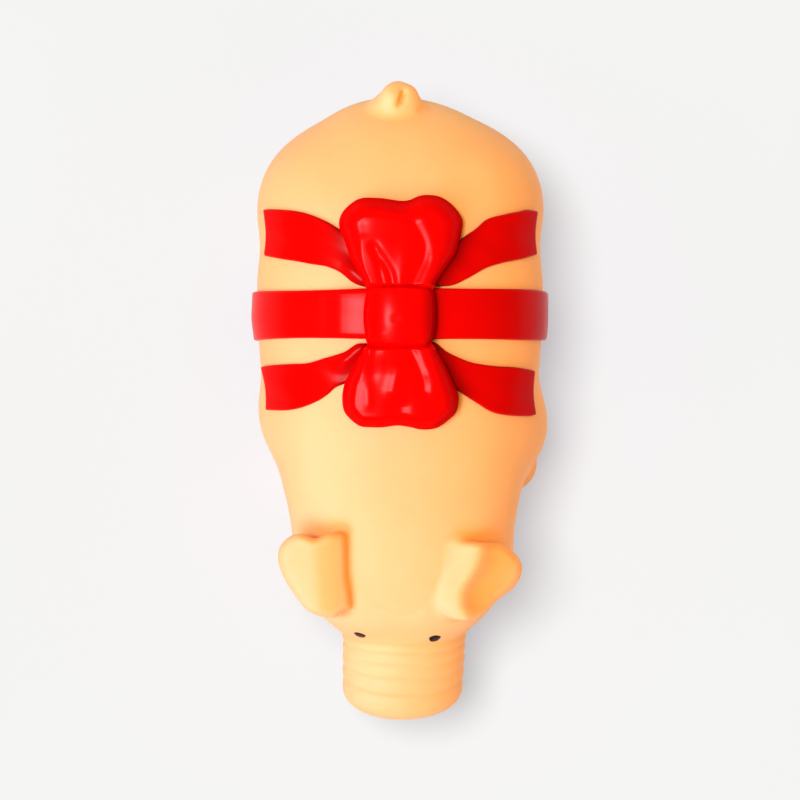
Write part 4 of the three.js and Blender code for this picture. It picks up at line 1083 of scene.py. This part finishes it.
def node(nt, kind, **inputs):
    n = nt.nodes.new(kind)
    for k, v in inputs.items():
        if k.startswith("_"):
            setattr(n, k[1:], v)
        else:
            n.inputs[k.replace("__", " ")].default_value = v
    return n


def noise(nt, coord, scale, detail=3.0, rough=0.5):
    n = node(nt, "ShaderNodeTexNoise", Scale=scale, Detail=detail, Roughness=rough)
    link(nt, coord, n.inputs["Vector"])
    return n.outputs["Fac"]


def ramp(nt, fac, stops):
    n = nt.nodes.new("ShaderNodeValToRGB")
    els = n.color_ramp.elements
    while len(els) < len(stops):
        els.new(0.5)
    for e, (p, c) in zip(els, stops):
        e.position = p
        e.color = (*c, 1) if len(c) == 3 else c
    link(nt, fac, n.inputs["Fac"])
    return n.outputs["Color"]


def math_node(nt, op, a, b):
    n = nt.nodes.new("ShaderNodeMath")
    n.operation = op
    for i, v in enumerate((a, b)):
        if isinstance(v, (int, float)):
            n.inputs[i].default_value = v
        else:
            link(nt, v, n.inputs[i])
    return n.outputs[0]


def mix(nt, fac, a, b, blend="MIX"):
    n = nt.nodes.new("ShaderNodeMix")
    n.data_type = "RGBA"
    n.blend_type = blend
    for sock, v in ((n.inputs["Factor"], fac), (n.inputs["A"], a), (n.inputs["B"], b)):
        if isinstance(v, (int, float)):
            sock.default_value = v
        elif isinstance(v, tuple):
            sock.default_value = (*v, 1)
        else:
            link(nt, v, sock)
    return n.outputs["Result"]


def bump(nt, bsdf, height, strength, distance):
    n = node(nt, "ShaderNodeBump", Strength=strength, Distance=distance)
    link(nt, height, n.inputs["Height"])
    link(nt, n.outputs["Normal"], bsdf.inputs["Normal"])


# painted light and shade along the length: the base is tinted a little deeper round the ribbon and paler at the rump
# and the forehead: y in mm, green, blue
LENGTH_LIGHT_SHADE_TINT = [(-102, 0.98, 1.02), (-83, 1.00, 1.03), (-71.5, 1.07, 1.24), (-62, 1.02, 1.12), (-47, 0.99, 1.04), (-33, 0.97, 0.98), (-14, 0.96, 0.95), (0, 0.94, 0.88), (14, 0.91, 0.82), (43, 0.93, 0.84), (67, 0.95, 0.88), (81, 1.00, 1.00), (101, 1.09, 1.15)]


def length_light_shade_tint(nt, co):
    split = node(nt, "ShaderNodeSeparateXYZ")
    link(nt, co, split.inputs["Vector"])
    along = node(nt, "ShaderNodeMapRange")
    along.inputs["From Min"].default_value = -0.11
    along.inputs["From Max"].default_value = 0.11
    link(nt, split.outputs["Y"], along.inputs["Value"])
    n = nt.nodes.new("ShaderNodeValToRGB")
    n.color_ramp.interpolation = "EASE"
    els = n.color_ramp.elements
    els[0].position, els[1].position = 0.0, 1.0
    for y, g, b in LENGTH_LIGHT_SHADE_TINT:
        els.new((y + 110) / 220).color = (1, g / 1.10, b / 1.25, 1)
    els[0].color, els[len(els) - 1].color = els[1].color, els[len(els) - 2].color
    link(nt, along.outputs["Result"], n.inputs["Fac"])
    return n.outputs["Color"]


def latex_material():
    m, nt, b = material("latex_peach")
    co = nt.nodes.new("ShaderNodeTexCoord").outputs["Object"]
    hidden = node(nt, "ShaderNodeAttribute", _attribute_name="hidden").outputs["Fac"]
    broad = noise(nt, co, 26.0, 2.0)
    mid = noise(nt, co, 150.0, 4.0, 0.55)
    fine = noise(nt, co, 900.0, 3.0, 0.6)
    base = ramp(nt, broad, [(0.30, (0.97, 0.440, 0.175)), (0.70, (0.99, 0.478, 0.202))])
    base = mix(nt, ramp(nt, mid, [(0.35, (0, 0, 0)), (0.75, (0.16, 0.16, 0.16))]), base, (1.0, 0.528, 0.256))
    base = mix(nt, 1.0, base, length_light_shade_tint(nt, co), "MULTIPLY")
    # painted shade: the base turns a deeper orange in creases and hollows and in the ear's dish
    shade_weight = ramp(nt, hidden, [(0.05, (0, 0, 0)), (0.36, (0.75, 0.75, 0.75)), (0.8, (1, 1, 1))])
    base = mix(nt, shade_weight, base, (0.95, 0.335, 0.050))
    link(nt, base, b.inputs["Base Color"])
    link(nt, ramp(nt, mid, [(0.3, (0.56,) * 3), (0.7, (0.64,) * 3)]), b.inputs["Roughness"])
    b.inputs["Specular IOR Level"].default_value = 0.6
    b.inputs["Subsurface Weight"].default_value = 0.30
    b.inputs["Subsurface Radius"].default_value = (1.0, 0.38, 0.14)
    b.inputs["Subsurface Scale"].default_value = 0.0050
    h = math_node(nt, "ADD", math_node(nt, "MULTIPLY", mid, 0.7), math_node(nt, "MULTIPLY", fine, 0.3))
    bump(nt, b, h, 0.22, 0.00022)
    return m


def paint_material(name, full, rim):
    m, nt, b = material(name)
    co = nt.nodes.new("ShaderNodeTexCoord").outputs["Object"]
    broad = noise(nt, co, 40.0, 2.0)
    mid = noise(nt, co, 230.0, 4.0, 0.5)
    fine = noise(nt, co, 1100.0, 2.0, 0.5)
    base = ramp(nt, broad, [(0.3, (0.63 * full, 0.0002, 0.0003)), (0.7, (0.70 * full, 0.0003, 0.0004))])
    base = mix(nt, ramp(nt, mid, [(0.4, (0, 0, 0)), (0.8, (0.12,) * 3)]), base, (0.56 * full, 0.0002, 0.0004))
    # painted shade: the red goes dark in folds, under the loops and along the edges
    hidden = node(nt, "ShaderNodeAttribute", _attribute_name="hidden").outputs["Fac"]
    base = mix(nt, hidden, base, (0.19, 0.0003, 0.0005))
    link(nt, base, b.inputs["Base Color"])
    link(nt, ramp(nt, mid, [(0.3, (0.30,) * 3), (0.7, (0.38,) * 3)]), b.inputs["Roughness"])
    b.inputs["Specular IOR Level"].default_value = rim
    b.inputs["Specular Tint"].default_value = (1.0, 0.008, 0.016, 1)
    b.inputs["Coat Weight"].default_value = 0.021
    b.inputs["Coat Roughness"].default_value = 0.22
    b.inputs["Coat IOR"].default_value = 2.4
    h = math_node(nt, "ADD", math_node(nt, "MULTIPLY", broad, 1.0), math_node(nt, "MULTIPLY", fine, 0.12))
    bump(nt, b, h, 0.25, 0.0004)
    return m


def eye_material():
    m, nt, b = material("eye_paint_dark")
    co = nt.nodes.new("ShaderNodeTexCoord").outputs["Object"]
    base = ramp(nt, noise(nt, co, 400.0, 3.0), [(0.3, (0.016, 0.005, 0.005)), (0.75, (0.034, 0.012, 0.010))])
    link(nt, base, b.inputs["Base Color"])
    link(nt, ramp(nt, noise(nt, co, 900.0), [(0.3, (0.26,) * 3), (0.7, (0.36,) * 3)]), b.inputs["Roughness"])
    b.inputs["Specular IOR Level"].default_value = 0.28
    return m


def plastic_material(name, low, high, rough, scale=300.0, trans=0.0):
    m, nt, b = material(name)
    co = nt.nodes.new("ShaderNodeTexCoord").outputs["Object"]
    f = noise(nt, co, scale, 4.0)
    link(nt, ramp(nt, f, [(0.3, low), (0.7, high)]), b.inputs["Base Color"])
    link(nt, ramp(nt, noise(nt, co, scale * 2.7), [(0.3, (rough - 0.05,) * 3), (0.7, (rough + 0.06,) * 3)]), b.inputs["Roughness"])
    b.inputs["Transmission Weight"].default_value = trans
    bump(nt, b, f, 0.15, 0.00008)
    return m


def fibre_material():
    m, nt, b = material("polyester_fibre")
    co = nt.nodes.new("ShaderNodeTexCoord").outputs["Object"]
    warp = node(nt, "ShaderNodeTexWave", Scale=210.0, Distortion=14.0, Detail=4.0)
    link(nt, co, warp.inputs["Vector"])
    f = warp.outputs["Fac"]
    link(nt, ramp(nt, f, [(0.2, (0.80, 0.79, 0.76)), (0.8, (0.95, 0.94, 0.92))]), b.inputs["Base Color"])
    b.inputs["Roughness"].default_value = 0.95
    b.inputs["Sheen Weight"].default_value = 0.5
    bump(nt, b, f, 0.8, 0.0006)
    return m


LATEX = latex_material()
RED = paint_material("red_latex_paint", 0.98, 0.08)
# the bow gets a brighter copy of the red paint, standing in for the stronger light on it
RED_LIT_BOW = paint_material("red_latex_paint_bow_lit", 1.14, 0.0)
RED_TAIL = paint_material("red_latex_paint_tail", 0.98, 0.02)
EYE = eye_material()
WHITE = plastic_material("white_plastic", (0.78, 0.77, 0.73), (0.84, 0.83, 0.80), 0.38)
IVORY = plastic_material("ivory_plastic", (0.72, 0.68, 0.58), (0.79, 0.75, 0.66), 0.42)
FILM = plastic_material("reed_film", (0.62, 0.47, 0.22), (0.72, 0.56, 0.29), 0.22, 500.0, 0.25)
FIBRE = fibre_material()


def dress(obj, mat, slot, *nodes):
    obj.data.materials.clear()
    obj.data.materials.append(mat)
    if nodes:
        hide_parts(*nodes)


dress(body_skin, LATEX, "latex_skin", "body_skin")
dress(ribbon_band, RED, "red_paint", "ribbon_band")
dress(bow_knot, RED_LIT_BOW, "red_paint", "bow_knot")
dress(bow_loop_rear, RED_LIT_BOW, "red_paint", "bow_loop_rear")
dress(bow_loop_front, RED_LIT_BOW, "red_paint", "bow_loop_front")
for name, o in ribbon_tails.items():
    dress(o, RED_TAIL, "red_paint", name)
dress(eye_left, EYE, "eye_paint", "eye_left")
dress(eye_right, EYE, "eye_paint", "eye_right")
dress(fibre, FIBRE, "fibre", "fibre_filling")
dress(housing, WHITE, "white_plastic", "grunter_housing")
dress(grille, WHITE, "white_plastic", "grunter_grille")
dress(seat, IVORY, "ivory_plastic", "grunter_reed_seat")
dress(pad, IVORY, "ivory_plastic")
dress(reed, FILM, "reed_film", "grunter_reed")
dress(clamp, IVORY, "ivory_plastic", "grunter_reed_clamp")

# ------------------------------------------------------------------ what moves with what
BEND_LOW, BEND_HIGH = (0, 0, 0.026), (0, 0, 0.0835)
for o in [body_skin, ribbon_band, *ribbon_tails.values(), eye_left, eye_right, fibre]:
    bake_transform(o)
    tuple(BEND_LOW)
    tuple(BEND_HIGH)
for o in (bow_knot, bow_loop_rear, bow_loop_front):
    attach(o, "back")
for o in (housing, grille, seat, pad, clamp):
    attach(o, "belly")
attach(reed, "reed")

# ------------------------------------------------------------------ floor, light, camera
def floor_material():
    m, nt, b = material("pale_floor")
    co = nt.nodes.new("ShaderNodeTexCoord").outputs["Object"]
    f = noise(nt, co, 3.0, 2.0)
    link(nt, ramp(nt, f, [(0.3, (0.245, 0.245, 0.245)), (0.7, (0.255, 0.255, 0.255))]), b.inputs["Base Color"])
    b.inputs["Roughness"].default_value = 0.9
    b.inputs["Specular IOR Level"].default_value = 0.0
    b.inputs["Emission Color"].default_value = (0.7958, 0.8442, 1.0, 1)     # a light table: it glows a little, so shadows stay pale
    b.inputs["Emission Strength"].default_value = 0.473
    return m


mesh = bpy.data.meshes.new("floor")
mesh.from_pydata([(-6, -6, 0), (6, -6, 0), (6, 6, 0), (-6, 6, 0)], [], [(0, 1, 2, 3)])
floor = bpy.data.objects.new("floor", mesh)
bpy.context.scene.collection.objects.link(floor)
floor.data.materials.append(floor_material())
floor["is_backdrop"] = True

world = bpy.data.worlds.new("studio")
bpy.context.scene.world = world
world.use_nodes = True
_nt = world.node_tree
_bg = _nt.nodes["Background"]
_tint = _nt.nodes.new("ShaderNodeMix")              # a warm room: its light fills the shaded side, the backdrop itself is white
_tint.data_type = "RGBA"
_tint.inputs["A"].default_value = (1.0, 0.85, 0.25, 1)
_tint.inputs["B"].default_value = (1, 1, 1, 1)
_nt.links.new(_tint.outputs["Result"], _bg.inputs["Color"])
_path = _nt.nodes.new("ShaderNodeLightPath")
_amount = _nt.nodes.new("ShaderNodeMapRange")       # the far backdrop is as pale as the floor, the light from it is softer
_amount.inputs["To Min"].default_value = 0.54
_amount.inputs["To Max"].default_value = 0.90
_nt.links.new(_path.outputs["Is Camera Ray"], _amount.inputs["Value"])
_nt.links.new(_path.outputs["Is Camera Ray"], _tint.inputs["Factor"])
_shine = _nt.nodes.new("ShaderNodeMapRange")        # the room that shines in glossy surfaces is dim round the lamps
_shine.inputs["To Min"].default_value = 1.0
_shine.inputs["To Max"].default_value = 0.22
_nt.links.new(_path.outputs["Is Glossy Ray"], _shine.inputs["Value"])
_both = _nt.nodes.new("ShaderNodeMath")
_both.operation = "MULTIPLY"
_nt.links.new(_amount.outputs["Result"], _both.inputs[0])
_nt.links.new(_shine.outputs["Result"], _both.inputs[1])
_nt.links.new(_both.outputs["Value"], _bg.inputs["Strength"])


def sun(name, azimuth, tilt, strength, size, colour=(1, 1, 1)):
    """azimuth: where the light stands, 180 is toward -X; tilt from straight overhead, degrees."""
    data = bpy.data.lights.new(name, "SUN")
    data.energy = strength
    data.angle = math.radians(size)
    data.color = colour
    obj = bpy.data.objects.new(name, data)
    a, t = math.radians(azimuth), math.radians(tilt)
    to_light = Vector((math.cos(a) * math.sin(t), math.sin(a) * math.sin(t), math.cos(t)))
    obj.rotation_mode = "QUATERNION"
    obj.rotation_quaternion = to_light.to_track_quat("Z", "Y")
    bpy.context.scene.collection.objects.link(obj)
    obj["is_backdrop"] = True
    return obj


on_toy = bpy.data.collections.new("lit_toy")
on_latex = bpy.data.collections.new("lit_latex")
on_floor = bpy.data.collections.new("lit_floor")
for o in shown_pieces():
    on_toy.objects.link(o)
on_latex.objects.link(body_skin)
on_floor.objects.link(floor)
key = sun("key", 175, 22, 2.28, 14, (1.0, 0.99, 1.04))
side = sun("side_fill", 222, 46, 1.88, 34, (1.0, 1.0, 1.60))
side.visible_glossy = False
overhead = sun("overhead", 150, 12, 5.05, 24)
overhead.visible_glossy = False
glow = sun("warm_bounce", -8, 66, 0.95, 70, (1.0, 0.48, 0.04))      # light that comes back through the soft latex on the far side
glow.visible_glossy = False
sheen = sun("soft_box_sheen", 198, 62, 4.6, 66, (1.0, 0.84, 1.0))                      # the pale sheen along the near side
sheen.visible_diffuse = False
for lamp, lit in ((key, on_toy), (side, on_toy), (overhead, on_floor), (glow, on_latex), (sheen, on_latex)):
    lamp.light_linking.receiver_collection = lit

cam = bpy.data.cameras.new("camera")
cam.sensor_width = 36
cam.lens = 148.92
camera = bpy.data.objects.new("camera", cam)
camera.location = (SHIFT[0] * 0.001, SHIFT[1] * 0.001, 1.2)
camera.rotation_euler = (0, 0, 0)
cam.clip_start, cam.clip_end = 0.05, 20
bpy.context.scene.collection.objects.link(camera)
bpy.context.scene.camera = camera
bpy.context.scene.view_settings.view_transform = "Standard"
bpy.context.scene.view_settings.look = "None"
